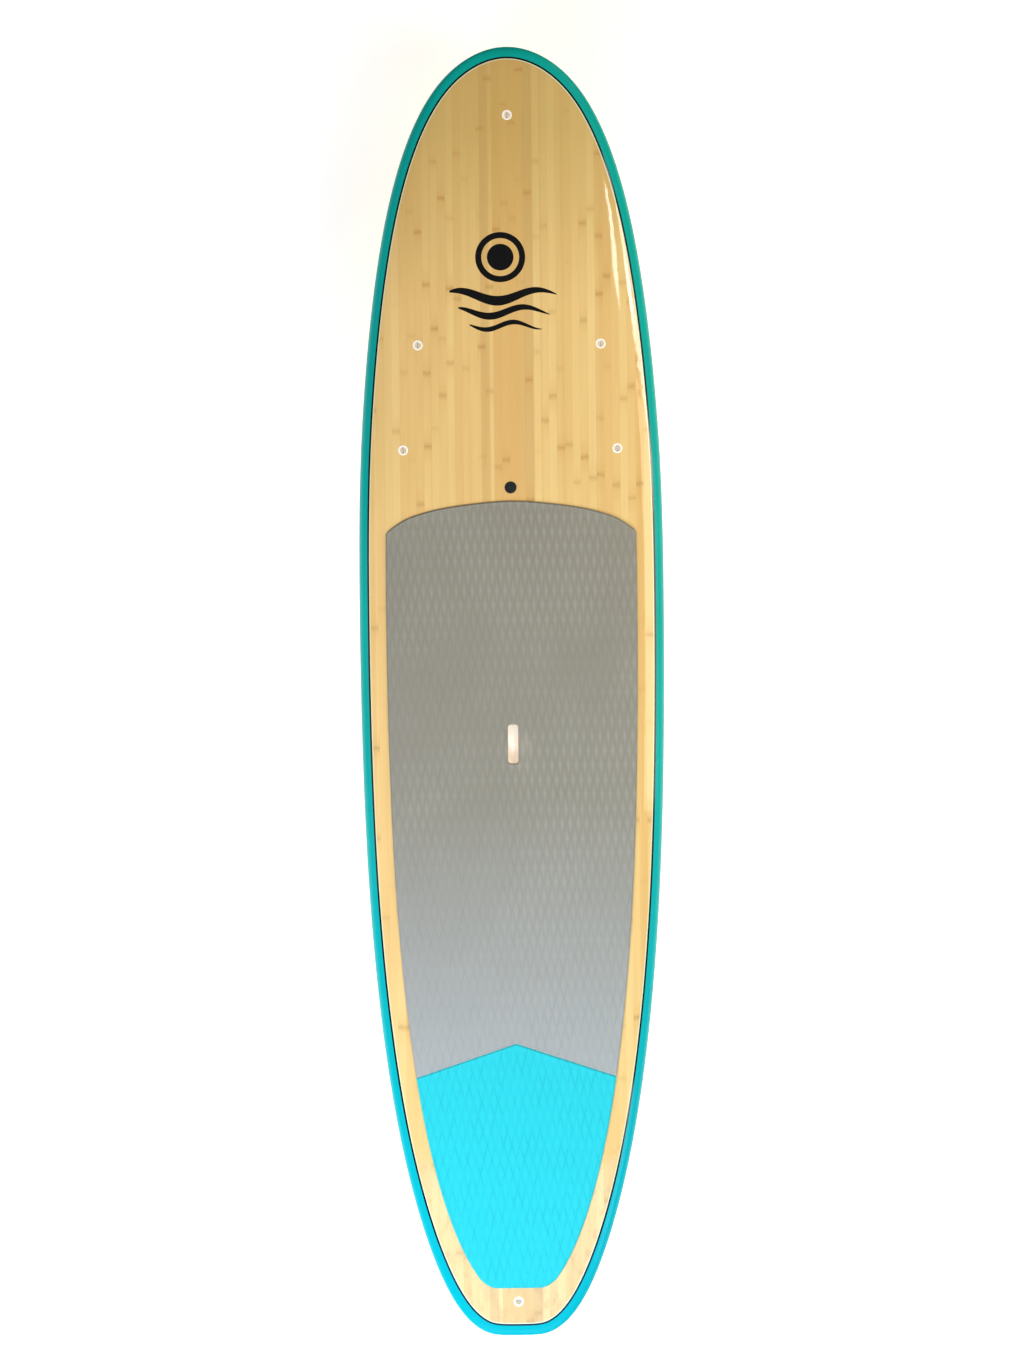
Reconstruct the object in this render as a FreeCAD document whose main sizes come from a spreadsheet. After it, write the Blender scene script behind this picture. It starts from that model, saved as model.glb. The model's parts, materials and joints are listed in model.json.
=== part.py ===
import FreeCAD, Part
import math
import os
import Sketcher

# Stand up paddleboard lying flat: +Z is the deck side, +Y the nose, +X starboard, millimetres.
# The origin is in the flat of the bottom, midway between nose and tail.

V = FreeCAD.Vector
UP = V(0, 0, 1)

# Poles of the hull from nose to tail: place along the board, half width, rise of the bottom,
# thickness.  A rise of None lies on the straight tail rocker.  Both tips are single points.
STATIONS = (
    (1600, 0, 149, 0),
    (1600, 56, 134, 30),
    (1540, 188, 112, 50),
    (1215, 315, 38, 96),
    (695, 373, -1.5, 115.5),
    (290, 382, -1.5, 115.5),
    (-495, 373, -1.5, 115.5),
    (-1119, 304, None, 90),
    (-1500, 187, None, 55),
    (-1598, 92, None, 36),
    (-1600, 51, None, 30),
    (-1600, 0, 52, 0),
)

# Poles of one half section: part of the half width, part of the thickness.
SECTION = (
    (0, 0), (0.40, 0), (0.76, 0), (0.94, 0), (1, 0.12), (1, 0.38),
    (1, 0.62), (0.975, 0.84), (0.84, 0.95), (0.50, 1), (0, 1),
)

# Where the hull surface is divided into faces, as knots around the section and along the board.
RAIL_CUTS = (0, 4, 8)
STATION_CUTS = (0, 2, 4, 5, 7, 9)

# The rounded front edge of the deck pad: distance from the centre line, place along the board.
PAD_FRONT = ((0, 476), (90, 470), (180, 457), (240, 441), (270, 428), (300, 408), (330, 380))

SIZES = {
    # hull
    "skin_thickness": 3,
    "stringer_width": 5,
    "tail_rocker_angle": 2,
    "pinline_width": 4.6,
    "pinline_inset": 23,
    "pinline_tip_extra": 4.5,
    "pinline_tip_power": 4,
    # pads
    "pad_thickness": 5,
    "pad_inset": 67,
    "pad_tip_extra": 38,
    "pad_tip_power": 12,
    "pad_joint_along": -872,
    "pad_joint_slope": 0.335,
    "pad_joint_gap": 2,
    "pad_tail_along": -1480,
    "pad_tail_corner": 18,
    "pad_handle_clearance": 1,
    "pad_flange_clearance": 0.4,
    # handle
    "handle_along": -128,
    "handle_slot_width": 27,
    "handle_slot_length": 97,
    "handle_slot_depth": 20,
    "handle_slot_corner": 7,
    "handle_cup_width": 46,
    "handle_cup_length": 118,
    "handle_cup_depth": 42,
    "handle_cup_corner": 10,
    "handle_flange_width": 64,
    "handle_flange_length": 136,
    "handle_flange_thickness": 2,
    "handle_well_radius": 17,
    "handle_well_drop": 20,
    "handle_well_length": 101,
    "handle_block_width": 80,
    "handle_block_length": 160,
    "handle_block_depth": 56,
    # plug cups
    "nose_plug_along": 1431,
    "leash_plug_along": -1514,
    "front_plug_along": 864,
    "front_plug_out": 227,
    "rear_plug_along": 604,
    "rear_plug_out": 266,
    "plug_flange_radius": 12.5,
    "plug_flange_thickness": 2,
    "plug_proud": 0.6,
    "plug_body_radius": 10.5,
    "plug_cavity_radius": 8,
    "plug_cavity_depth": 14,
    "plug_depth": 17,
    "plug_pin_radius": 1.6,
    "plug_pin_drop": 4.5,
    "plug_pin_length": 19,
    "leash_block_radius": 24,
    "leash_block_depth": 26,
    # vent
    "vent_along": 509,
    "vent_flange_radius": 15,
    "vent_flange_thickness": 2,
    "vent_proud": 1,
    "vent_body_radius": 11,
    "vent_depth": 20,
    "vent_seat_radius": 8.6,
    "vent_seat_drop": 2.6,
    "vent_bore_radius": 4.5,
    "vent_bore_drop": 15,
    "vent_breather_radius": 1.5,
    "vent_head_radius": 7.9,
    "vent_head_gap": 1.7,
    "vent_head_thickness": 2.2,
    "vent_shank_radius": 3.6,
    "vent_thread_radius": 4.1,
    "vent_thread_pitch": 1.5,
    "vent_shank_length": 10.5,
    "vent_slot_width": 2,
    "vent_slot_depth": 1.2,
    "vent_seal_radius": 6.3,
    "vent_seal_tube": 0.8,
    "vent_membrane_radius": 4.3,
    "vent_membrane_thickness": 0.4,
    # centre fin and its box; drops are measured up into the board from the bottom
    "fin_box_along": -1270,
    "fin_box_width": 30,
    "fin_box_length": 272,
    "fin_box_depth": 28,
    "fin_box_corner": 8,
    "fin_slot_width": 9.8,
    "fin_slot_length": 254,
    "fin_slot_depth": 24,
    "fin_channel_width": 15.6,
    "fin_channel_bottom": 7,
    "fin_channel_height": 6,
    "fin_notch_length": 14,
    "fin_block_margin": 16,
    "fin_block_depth": 42,
    "fin_tab_width": 9.2,
    "fin_tab_front": 64,
    "fin_tab_rear": -86,
    "fin_tab_depth": 22,
    "fin_base_gap": 0.5,
    "fin_depth": 230,
    "fin_base_thickness": 9.2,
    "fin_ear_length": 22,
    "fin_ear_bottom": 3.4,
    "fin_ear_thickness": 2.8,
    "fin_pin_along": -74,
    "fin_pin_radius": 2.3,
    "fin_pin_length": 14.6,
    "fin_pin_height": 10,
    "fin_screw_along": 75,
    "fin_screw_hole_radius": 2.3,
    "fin_screw_head_radius": 3.7,
    "fin_screw_head_height": 2.5,
    "fin_screw_core_radius": 1.6,
    "fin_screw_thread_radius": 2,
    "fin_screw_pitch": 0.7,
    "fin_screw_length": 12.6,
    "fin_screw_slot_width": 1,
    "fin_screw_slot_depth": 1.1,
    "fin_plate_width": 13,
    "fin_plate_length": 12,
    "fin_plate_thickness": 2.4,
    "fin_plate_bottom": 7.4,
    # side fins and their boxes
    "side_box_along": -1205,
    "side_box_out": 150,
    "side_toe_angle": 3,
    "side_cant_angle": 7,
    "side_box_width": 34,
    "side_box_length": 124,
    "side_box_depth": 20,
    "side_box_corner": 8,
    "side_slot_width": 6.6,
    "side_slot_length": 84,
    "side_slot_depth": 16,
    "side_block_margin": 14,
    "side_block_depth": 34,
    "side_tab_width": 6,
    "side_tab_length": 82,
    "side_tab_depth": 14.5,
    "side_fin_depth": 112,
    "grub_angle": 30,
    "grub_out": 10.8,
    "grub_spacing": 50,
    "grub_radius": 2.2,
    "grub_length": 7.5,
    "grub_recess": 3,
    "grub_socket_size": 2.5,
    "grub_socket_depth": 3,
    "grub_hole_length": 14,
}

doc = FreeCAD.newDocument("paddleboard")
sheet = doc.addObject("Spreadsheet::Sheet", "sizes")


def fill_sheet():
    rows = dict(SIZES)
    for number, (along, half, rise, deep) in enumerate(STATIONS):
        rows["station_%d_along" % number] = along
        rows["station_%d_half" % number] = half
        if rise is not None:
            rows["station_%d_rise" % number] = rise
        rows["station_%d_deep" % number] = deep
    for number, (out, up) in enumerate(SECTION):
        rows["section_%d_out" % number] = out
        rows["section_%d_up" % number] = up
    for number, (out, along) in enumerate(PAD_FRONT):
        rows["pad_front_%d_out" % number] = out
        rows["pad_front_%d_along" % number] = along
    for row, (alias, value) in enumerate(rows.items(), 1):
        sheet.set("A%d" % row, alias)
        sheet.set("B%d" % row, str(value))
        sheet.setAlias("B%d" % row, alias)
    doc.recompute()


fill_sheet()


def size(alias):
    return float(getattr(sheet, alias))


def read_stations():
    stations = []
    for number, (along, half, rise, deep) in enumerate(STATIONS):
        stations.append([size("station_%d_along" % number), size("station_%d_half" % number),
                         None if rise is None else size("station_%d_rise" % number),
                         size("station_%d_deep" % number)])
    start = stations[6]
    slope = math.tan(math.radians(size("tail_rocker_angle")))
    for station in stations:
        if station[2] is None:
            station[2] = start[2] + slope * (start[0] - station[0])
    return stations


def read_section():
    return [(size("section_%d_out" % number), size("section_%d_up" % number))
            for number in range(len(SECTION))]


# ---------------------------------------------------------------- hull surfaces

def clamped_knots(poles):
    spans = poles - 3
    return [4] + [1] * (spans - 1) + [4], [float(k) for k in range(spans + 1)]


def hull_surface(inset, side):
    """One half of the hull, moved inwards by inset, as a bicubic surface."""
    stations = read_stations()
    nose = stations[0][0]
    poles = []
    for out, up in read_section():
        row = []
        for along, half, rise, deep in stations:
            if abs(along) == nose:
                along -= math.copysign(inset, along)
            if half > 0:
                half, rise, deep = half - inset, rise + inset, deep - 2 * inset
            row.append(V(side * out * half, along, rise + up * deep))
        poles.append(row)
    umults, uknots = clamped_knots(len(poles))
    vmults, vknots = clamped_knots(len(stations))
    surface = Part.BSplineSurface()
    surface.buildFromPolesMultsKnots(poles, umults, vmults, uknots, vknots, False, False, 3, 3)
    return surface


def hull_solid(inset):
    """The hull moved inwards by inset, in faces that end at the rail and at a few stations."""
    faces = []
    for side in (1, -1):
        for low, high in zip(RAIL_CUTS, RAIL_CUTS[1:]):
            for fore, aft in zip(STATION_CUTS, STATION_CUTS[1:]):
                surface = hull_surface(inset, side)
                surface.segment(low, high, fore, aft)
                faces.append(surface.toShape())
    shell = Part.Shell(faces)
    shell.sewShape()
    solid = Part.Solid(shell)
    if solid.Volume < 0:
        solid.reverse()
    return solid


def hull_outside():
    belly = Part.makeBox(2000, 4000, 50, V(-1000, -2000, -50))
    return hull_solid(0).cut(belly)


def outline_curve():
    stations = read_stations()
    mults, knots = clamped_knots(len(stations))
    curve = Part.BSplineCurve()
    curve.buildFromPolesMultsKnots([V(half, along, 0) for along, half, _, _ in stations],
                                   mults, knots, False, 3)
    return curve


def inset_prism(inset, tip_extra, tip_power):
    """Everything more than inset inside the outline, and further inside near the tips, as a block."""
    curve = outline_curve()
    reach = size("station_0_along")
    count = 90
    half = []
    for number in range(count + 1):
        where = curve.LastParameter * number / count
        point = curve.value(where)
        along = curve.tangent(where)[0]
        inward = V(along.y, -along.x, 0)
        if number in (0, count):
            inward = V(0, -math.copysign(1, point.y), 0)
        half.append(point + inward * (inset + tip_extra * abs(point.y / reach) ** tip_power))
    loop = half + [V(-point.x, point.y, 0) for point in half[-2:0:-1]]
    line = Part.BSplineCurve()
    line.interpolate(Points=[V(point.x, point.y, -60) for point in loop], PeriodicFlag=True)
    return Part.Face(Part.Wire(line.toShape())).extrude(V(0, 0, 400))


def polygon_prism(points):
    wire = Part.makePolygon([V(x, y, -60) for x, y in points + points[:1]])
    return Part.Face(wire).extrude(V(0, 0, 400))


def surface_point(x, y, top):
    """Where the vertical through x, y meets the hull, and the outward normal there."""
    side = 1 if x >= 0 else -1
    surface = hull_surface(0, side)
    line = Part.Line(V(x, y, -500), V(x, y, 500))
    hits = [V(p.X, p.Y, p.Z) for p in surface.intersect(line)[0]]
    point = sorted(hits, key=lambda p: p.z)[-1 if top else 0]
    normal = surface.normal(*surface.parameter(point))
    if (normal.z < 0) == top:
        normal = normal * -1
    return point, normal


def centre_point(y, top):
    """The same on the centre line, where the normal has no sideways part."""
    surface = hull_surface(0, 1)
    edge = surface.uIso(surface.bounds()[1] if top else surface.bounds()[0])
    low, high = edge.FirstParameter, edge.LastParameter
    for _ in range(60):
        middle = (low + high) / 2
        if edge.value(middle).y > y:
            low = middle
        else:
            high = middle
    along = edge.tangent(low)[0]
    normal = V(0, -along.z, along.y)
    if (normal.z < 0) == top:
        normal = normal * -1
    return edge.value(low), normal


def standing(point, normal, turn=0):
    """Placement with local Z along the normal and local Y towards the nose."""
    normal.normalize()
    side = V(0, 1, 0).cross(normal)
    side.normalize()
    nose = normal.cross(side)
    rotation = FreeCAD.Rotation(side, nose, normal, "ZXY")
    return FreeCAD.Placement(point, rotation * FreeCAD.Rotation(UP, turn))


def deck_placement(x, y, turn=0):
    point, normal = surface_point(x, y, True) if x else centre_point(y, True)
    return standing(point, normal, turn)


def bottom_placement(x, y, turn=0):
    """On the straight tail rocker; local Z points up into the board."""
    angle = size("tail_rocker_angle")
    start = read_stations()[6]
    rise = start[2] + math.tan(math.radians(angle)) * (start[0] - y)
    pitch = FreeCAD.Rotation(V(1, 0, 0), -angle)
    return FreeCAD.Placement(V(x, y, rise), pitch * FreeCAD.Rotation(UP, turn))


# ---------------------------------------------------------------- sub-part helpers

def new_body(name, placement):
    body = doc.addObject("PartDesign::Body", name)
    body.Label = name
    body.Placement = placement
    return body


def new_feature(name, shape, placement=None):
    piece = doc.addObject("Part::Feature", name)
    piece.Label = name
    piece.Shape = shape
    piece.Placement = placement or FreeCAD.Placement()
    return piece


def origin_plane(body, role):
    return [item for item in body.Origin.OriginFeatures if item.Role == role][0]


def pin_coordinate(sketch, kind, geometry, value):
    """Hold one coordinate of a line's first point to a sheet expression."""
    if value == "0":
        axis = -2 if kind == "DistanceX" else -1
        sketch.addConstraint(Sketcher.Constraint("PointOnObject", geometry, 1, axis))
        return
    start = sketch.Geometry[geometry].StartPoint
    now = start.x if kind == "DistanceX" else start.y
    number = sketch.addConstraint(Sketcher.Constraint(kind, -1, 1, geometry, 1, now))
    sketch.setExpression("Constraints[%d]" % number, value)


def evaluate(value):
    """The present value of a sheet expression."""
    return float(sheet.evalExpression(value))


def polygon_sketch(body, name, role, points):
    """A closed polygon whose corners are pairs of sheet expressions."""
    sketch = body.newObject("Sketcher::SketchObject", name)
    sketch.AttachmentSupport = [(origin_plane(body, role), "")]
    sketch.MapMode = "FlatFace"
    corners = [V(evaluate(x), evaluate(y), 0) for x, y in points]
    count = len(corners)
    for number in range(count):
        sketch.addGeometry(Part.LineSegment(corners[number], corners[(number + 1) % count]))
    for number in range(count):
        sketch.addConstraint(Sketcher.Constraint("Coincident", number, 2, (number + 1) % count, 1))
    for number, (x, y) in enumerate(points):
        pin_coordinate(sketch, "DistanceX", number, x)
        pin_coordinate(sketch, "DistanceY", number, y)
    return sketch


def rectangle_points(width, length, middle="0"):
    """Corners of a rectangle centred sideways, from sheet expressions."""
    low = "-(%s) / 2" % length if middle == "0" else "%s - (%s) / 2" % (middle, length)
    high = "(%s) / 2" % length if middle == "0" else "%s + (%s) / 2" % (middle, length)
    left, right = "-(%s) / 2" % width, "(%s) / 2" % width
    return [(left, low), (right, low), (right, high), (left, high)]


def revolve(body, name, points):
    sketch = polygon_sketch(body, name + "_profile", "XZ_Plane", points)
    turned = body.newObject("PartDesign::Revolution", name)
    turned.Profile = sketch
    turned.ReferenceAxis = (sketch, ["V_Axis"])
    turned.Angle = 360
    body.Tip = turned
    doc.recompute()
    return turned


def extrude(body, name, points, length, reverse=False, cut=False, role="XY_Plane", both=False):
    sketch = polygon_sketch(body, name + "_outline", role, points)
    kind = "PartDesign::Pocket" if cut else "PartDesign::Pad"
    feature = body.newObject(kind, name)
    feature.Profile = sketch
    feature.setExpression("Length", length)
    feature.Reversed = reverse
    feature.Midplane = both
    body.Tip = feature
    doc.recompute()
    return feature


def upright_edges(shape, wanted):
    """Names of the straight vertical edges for which wanted(x, y, zmin, zmax) is true."""
    names = []
    for number, edge in enumerate(shape.Edges, 1):
        box = edge.BoundBox
        if box.XLength < 1e-6 and box.YLength < 1e-6 and wanted(box.XMin, box.YMin, box.ZMin, box.ZMax):
            names.append("Edge%d" % number)
    return names


def fillet(body, name, feature, edges, radius):
    rounded = body.newObject("PartDesign::Fillet", name)
    rounded.Base = (feature, edges)
    rounded.setExpression("Radius", radius)
    body.Tip = rounded
    doc.recompute()
    return rounded


def cylinder(name, radius, height, placement):
    """A Part cylinder whose radius and height follow the sheet."""
    piece = doc.addObject("Part::Cylinder", name)
    piece.Label = name
    piece.setExpression("Radius", radius)
    piece.setExpression("Height", height)
    piece.Placement = placement
    return piece


def local(placement, x=0, y=0, z=0, axis=None, angle=0):
    turn = FreeCAD.Rotation(axis, angle) if axis else FreeCAD.Rotation()
    return placement * FreeCAD.Placement(V(x, y, z), turn)


def placed(shape, placement):
    copy = shape.copy()
    copy.Placement = placement * copy.Placement
    return copy


# ---------------------------------------------------------------- plugs, vent and handle

def plug_cup(name, placement):
    """A flanged cup let into the deck, open at the top."""
    body = new_body(name, placement)
    revolve(body, name + "_turned", [
        ("0", "-sizes.plug_depth"),
        ("sizes.plug_body_radius", "-sizes.plug_depth"),
        ("sizes.plug_body_radius", "sizes.plug_proud - sizes.plug_flange_thickness"),
        ("sizes.plug_flange_radius", "sizes.plug_proud - sizes.plug_flange_thickness"),
        ("sizes.plug_flange_radius", "sizes.plug_proud * 0.3"),
        ("sizes.plug_flange_radius - 0.8", "sizes.plug_proud"),
        ("sizes.plug_cavity_radius + 0.6", "sizes.plug_proud"),
        ("sizes.plug_cavity_radius", "sizes.plug_proud - 0.8"),
        ("sizes.plug_cavity_radius", "1.5 - sizes.plug_cavity_depth"),
        ("sizes.plug_cavity_radius - 1.5", "-sizes.plug_cavity_depth"),
        ("0", "-sizes.plug_cavity_depth"),
    ])
    hole = body.newObject("PartDesign::SubtractiveCylinder", name + "_pin_hole")
    hole.setExpression("Radius", "sizes.plug_pin_radius")
    hole.setExpression("Height", "sizes.plug_pin_length")
    hole.AttachmentSupport = [(origin_plane(body, "XZ_Plane"), "")]
    hole.MapMode = "FlatFace"
    hole.setExpression("AttachmentOffset.Base.y", "-sizes.plug_pin_drop")
    hole.setExpression("AttachmentOffset.Base.z", "-sizes.plug_pin_length / 2")
    body.Tip = hole
    return body


def plug_pin(name, placement):
    centred = local(placement, y=size("plug_pin_length") / 2, z=-size("plug_pin_drop"),
                    axis=V(1, 0, 0), angle=90)
    return cylinder(name, "sizes.plug_pin_radius", "sizes.plug_pin_length", centred)


def flanged_seat(kind, placement):
    """The room that a plug or the vent takes in the deck and the foam."""
    depth = size(kind + "_depth")
    flange = size(kind + "_flange_thickness") - size(kind + "_proud")
    seat = Part.makeCylinder(size(kind + "_body_radius"), depth, V(0, 0, -depth))
    seat = seat.fuse(Part.makeCylinder(size(kind + "_flange_radius"), flange + 8, V(0, 0, -flange)))
    return placed(seat, placement)


def vent_housing(placement):
    body = new_body("vent_housing", placement)
    seat = "sizes.vent_proud - sizes.vent_seat_drop"
    floor = "sizes.vent_proud - sizes.vent_bore_drop"
    revolve(body, "vent_housing_turned", [
        ("sizes.vent_breather_radius", "-sizes.vent_depth"),
        ("sizes.vent_body_radius", "-sizes.vent_depth"),
        ("sizes.vent_body_radius", "sizes.vent_proud - sizes.vent_flange_thickness"),
        ("sizes.vent_flange_radius", "sizes.vent_proud - sizes.vent_flange_thickness"),
        ("sizes.vent_flange_radius", "sizes.vent_proud * 0.3"),
        ("sizes.vent_flange_radius - 1.2", "sizes.vent_proud"),
        ("sizes.vent_seat_radius", "sizes.vent_proud"),
        ("sizes.vent_seat_radius", seat),
        ("sizes.vent_bore_radius", seat),
        ("sizes.vent_bore_radius", floor),
        ("sizes.vent_breather_radius", floor),
    ])
    return body


def ridged_shank(core, crest, pitch, start, turns, direction):
    """Profile corners of a shank with ring ridges, going away from its head."""
    points = []
    for turn in range(turns):
        for radius, part in ((core, 0.1), (crest, 0.4), (crest, 0.6), (core, 0.9)):
            points.append((radius, "%s %s %s * %s" % (start, direction, pitch, turn + part)))
    return points


def vent_screw(placement):
    body = new_body("vent_screw", placement)
    under = "sizes.vent_proud - sizes.vent_seat_drop + sizes.vent_head_gap"
    top = under + " + sizes.vent_head_thickness"
    end = under + " - sizes.vent_shank_length"
    ridges = ridged_shank("sizes.vent_shank_radius", "sizes.vent_thread_radius",
                          "sizes.vent_thread_pitch", under + " - 2.4", 5, "-")
    revolve(body, "vent_screw_turned", [
        ("0", top),
        ("0", end),
        ("sizes.vent_shank_radius - 0.8", end),
    ] + ridges[::-1] + [
        ("sizes.vent_shank_radius", under),
        ("sizes.vent_head_radius", under),
        ("sizes.vent_head_radius", top + " - 0.7"),
        ("sizes.vent_head_radius - 0.7", top),
    ])
    slot = body.newObject("PartDesign::SubtractiveBox", "vent_screw_slot")
    slot.setExpression("Length", "sizes.vent_slot_width")
    slot.setExpression("Width", "sizes.vent_head_radius * 1.5")
    slot.setExpression("Height", "sizes.vent_slot_depth + 1")
    slot.AttachmentSupport = [(origin_plane(body, "XY_Plane"), "")]
    slot.MapMode = "FlatFace"
    slot.setExpression("AttachmentOffset.Base.x", "-sizes.vent_slot_width / 2")
    slot.setExpression("AttachmentOffset.Base.y", "-sizes.vent_head_radius * 0.75")
    slot.setExpression("AttachmentOffset.Base.z", top + " - sizes.vent_slot_depth")
    body.Tip = slot
    return body


def vent_seal(placement):
    seal = doc.addObject("Part::Torus", "vent_seal")
    seal.Label = "vent_seal"
    seal.setExpression("Radius1", "sizes.vent_seal_radius")
    seal.setExpression("Radius2", "sizes.vent_seal_tube")
    middle = size("vent_proud") - size("vent_seat_drop") + size("vent_head_gap") / 2
    seal.Placement = local(placement, z=middle)
    return seal


def vent_membrane(placement):
    floor = size("vent_proud") - size("vent_bore_drop")
    return cylinder("vent_membrane", "sizes.vent_membrane_radius", "sizes.vent_membrane_thickness",
                    local(placement, z=floor))


def handle_cup(placement):
    """A moulded finger well: a slot in the deck over a wider half round trough."""
    body = new_body("handle_cup", placement)
    extrude(body, "handle_flange",
            rectangle_points("sizes.handle_flange_width", "sizes.handle_flange_length"),
            "sizes.handle_flange_thickness", reverse=True)
    outer = extrude(body, "handle_outer",
                    rectangle_points("sizes.handle_cup_width", "sizes.handle_cup_length"),
                    "sizes.handle_cup_depth", reverse=True)
    corners = upright_edges(outer.Shape, lambda x, y, low, high: high - low > 1)
    outer = fillet(body, "handle_outer_corners", outer, corners, "sizes.handle_cup_corner")
    slot = extrude(body, "handle_slot",
                   rectangle_points("sizes.handle_slot_width", "sizes.handle_slot_length"),
                   "sizes.handle_slot_depth", cut=True)
    half = size("handle_slot_width") / 2
    corners = upright_edges(slot.Shape, lambda x, y, low, high: abs(abs(x) - half) < 0.01)
    fillet(body, "handle_slot_corners", slot, corners, "sizes.handle_slot_corner")
    well = body.newObject("PartDesign::SubtractiveCylinder", "handle_well")
    well.setExpression("Radius", "sizes.handle_well_radius")
    well.setExpression("Height", "sizes.handle_well_length")
    well.AttachmentSupport = [(origin_plane(body, "XZ_Plane"), "")]
    well.MapMode = "FlatFace"
    well.setExpression("AttachmentOffset.Base.y", "-sizes.handle_well_drop")
    well.setExpression("AttachmentOffset.Base.z", "-sizes.handle_well_length / 2")
    body.Tip = well
    return body


def rounded_box(width, length, corner, low, high):
    box = Part.makeBox(width, length, high - low, V(-width / 2, -length / 2, low))
    edges = [edge for edge in box.Edges if edge.BoundBox.ZLength > 1]
    return box.makeFillet(corner, edges)


def handle_seat(placement):
    corner = size("handle_cup_corner")
    seat = rounded_box(size("handle_cup_width"), size("handle_cup_length"), corner,
                       -size("handle_cup_depth"), 8)
    flange = rounded_box(size("handle_flange_width"), size("handle_flange_length"), corner,
                         -size("handle_flange_thickness"), 8)
    return placed(seat.fuse(flange), placement)


# ---------------------------------------------------------------- fins

def fin_box(placement):
    """A long box with a slot and, along both sides of it, a channel for pin and plate."""
    body = new_body("fin_box", placement)
    outer = extrude(body, "fin_box_outer", rectangle_points("sizes.fin_box_width", "sizes.fin_box_length"),
                    "sizes.fin_box_depth")
    corners = upright_edges(outer.Shape, lambda x, y, low, high: True)
    fillet(body, "fin_box_corners", outer, corners, "sizes.fin_box_corner")
    extrude(body, "fin_box_slot", rectangle_points("sizes.fin_slot_width", "sizes.fin_slot_length"),
            "sizes.fin_slot_depth", cut=True, reverse=True)
    low, high = "sizes.fin_channel_bottom", "sizes.fin_channel_bottom + sizes.fin_channel_height"
    left, right = "-sizes.fin_channel_width / 2", "sizes.fin_channel_width / 2"
    extrude(body, "fin_box_channel", [(left, low), (right, low), (right, high), (left, high)],
            "sizes.fin_slot_length", cut=True, role="XZ_Plane", both=True)
    extrude(body, "fin_box_notch", rectangle_points("sizes.fin_channel_width", "sizes.fin_notch_length"),
            "sizes.fin_channel_bottom + 1", cut=True, reverse=True)
    return body


def foil(lead, trail, thick, height, out=0):
    """A closed fin section in a level plane, round in front and blunt behind."""
    chord = lead - trail
    blunt = 0.35
    side = [(0, 0), (0, 0.34), (0.16, 0.62), (0.45, 0.62), (0.78, 0.26)]
    poles = [V(blunt, trail, 0)]
    poles += [V(y * thick, lead - x * chord, 0) for x, y in side[:0:-1]]
    poles += [V(0, lead, 0)]
    poles += [V(-y * thick, lead - x * chord, 0) for x, y in side[1:]]
    poles += [V(-blunt, trail, 0)]
    mults, knots = clamped_knots(len(poles))
    curve = Part.BSplineCurve()
    curve.buildFromPolesMultsKnots(poles, mults, knots, False, 3)
    wire = Part.Wire([curve.toShape(), Part.makeLine(V(-blunt, trail, 0), V(blunt, trail, 0))])
    wire.translate(V(out, 0, height))
    return wire


# Fin outlines: part of the depth, leading edge, trailing edge (in base lengths), part of the thickness.
CENTRE_OUTLINE = (
    (0, 0.50, -0.50, 1), (0.15, 0.37, -0.43, 0.93), (0.32, 0.20, -0.42, 0.84),
    (0.50, 0.00, -0.47, 0.72), (0.67, -0.22, -0.57, 0.58), (0.82, -0.45, -0.71, 0.44),
    (0.92, -0.64, -0.83, 0.32), (0.98, -0.80, -0.92, 0.22), (1, -0.87, -0.945, 0.14),
)
SIDE_OUTLINE = (
    (0, 0.50, -0.50, 1), (0.18, 0.38, -0.46, 0.90), (0.38, 0.21, -0.47, 0.78),
    (0.58, 0.00, -0.54, 0.64), (0.76, -0.23, -0.66, 0.50), (0.90, -0.46, -0.79, 0.36),
    (0.97, -0.64, -0.88, 0.25), (1, -0.76, -0.91, 0.14),
)


def blade(outline, base, depth, thick, gap, cant=0):
    """A raked fin blade hanging below the bottom."""
    lean = math.tan(math.radians(cant))
    wires = [foil(lead * base, trail * base, share * thick, -gap - part * depth, lean * part * depth)
             for part, lead, trail, share in outline]
    return Part.makeLoft(wires, True)


def centre_fin(placement):
    front, rear = size("fin_tab_front"), size("fin_tab_rear")
    width, depth = size("fin_tab_width"), size("fin_tab_depth")
    gap = size("fin_base_gap")
    shape = blade(CENTRE_OUTLINE, front - rear, size("fin_depth"), size("fin_base_thickness"), gap)
    shape.translate(V(0, (front + rear) / 2, 0))
    shape = shape.fuse(Part.makeBox(width, front - rear, depth + gap, V(-width / 2, rear, -gap)))
    ear = size("fin_ear_length")
    shape = shape.fuse(Part.makeBox(width, ear + 4, size("fin_ear_thickness"),
                                    V(-width / 2, front - 4, size("fin_ear_bottom"))))
    screw = Part.makeCylinder(size("fin_screw_hole_radius"), 20, V(0, size("fin_screw_along"), 0))
    pin = Part.makeCylinder(size("fin_pin_radius"), 20,
                            V(-10, size("fin_pin_along"), size("fin_pin_height")), V(1, 0, 0))
    return new_feature("centre_fin", shape.cut(screw).cut(pin), placement)


def fin_pin(placement):
    half = size("fin_pin_length") / 2
    where = local(placement, x=-half, y=size("fin_pin_along"), z=size("fin_pin_height"),
                  axis=V(0, 1, 0), angle=90)
    return cylinder("fin_pin", "sizes.fin_pin_radius", "sizes.fin_pin_length", where)


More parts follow.
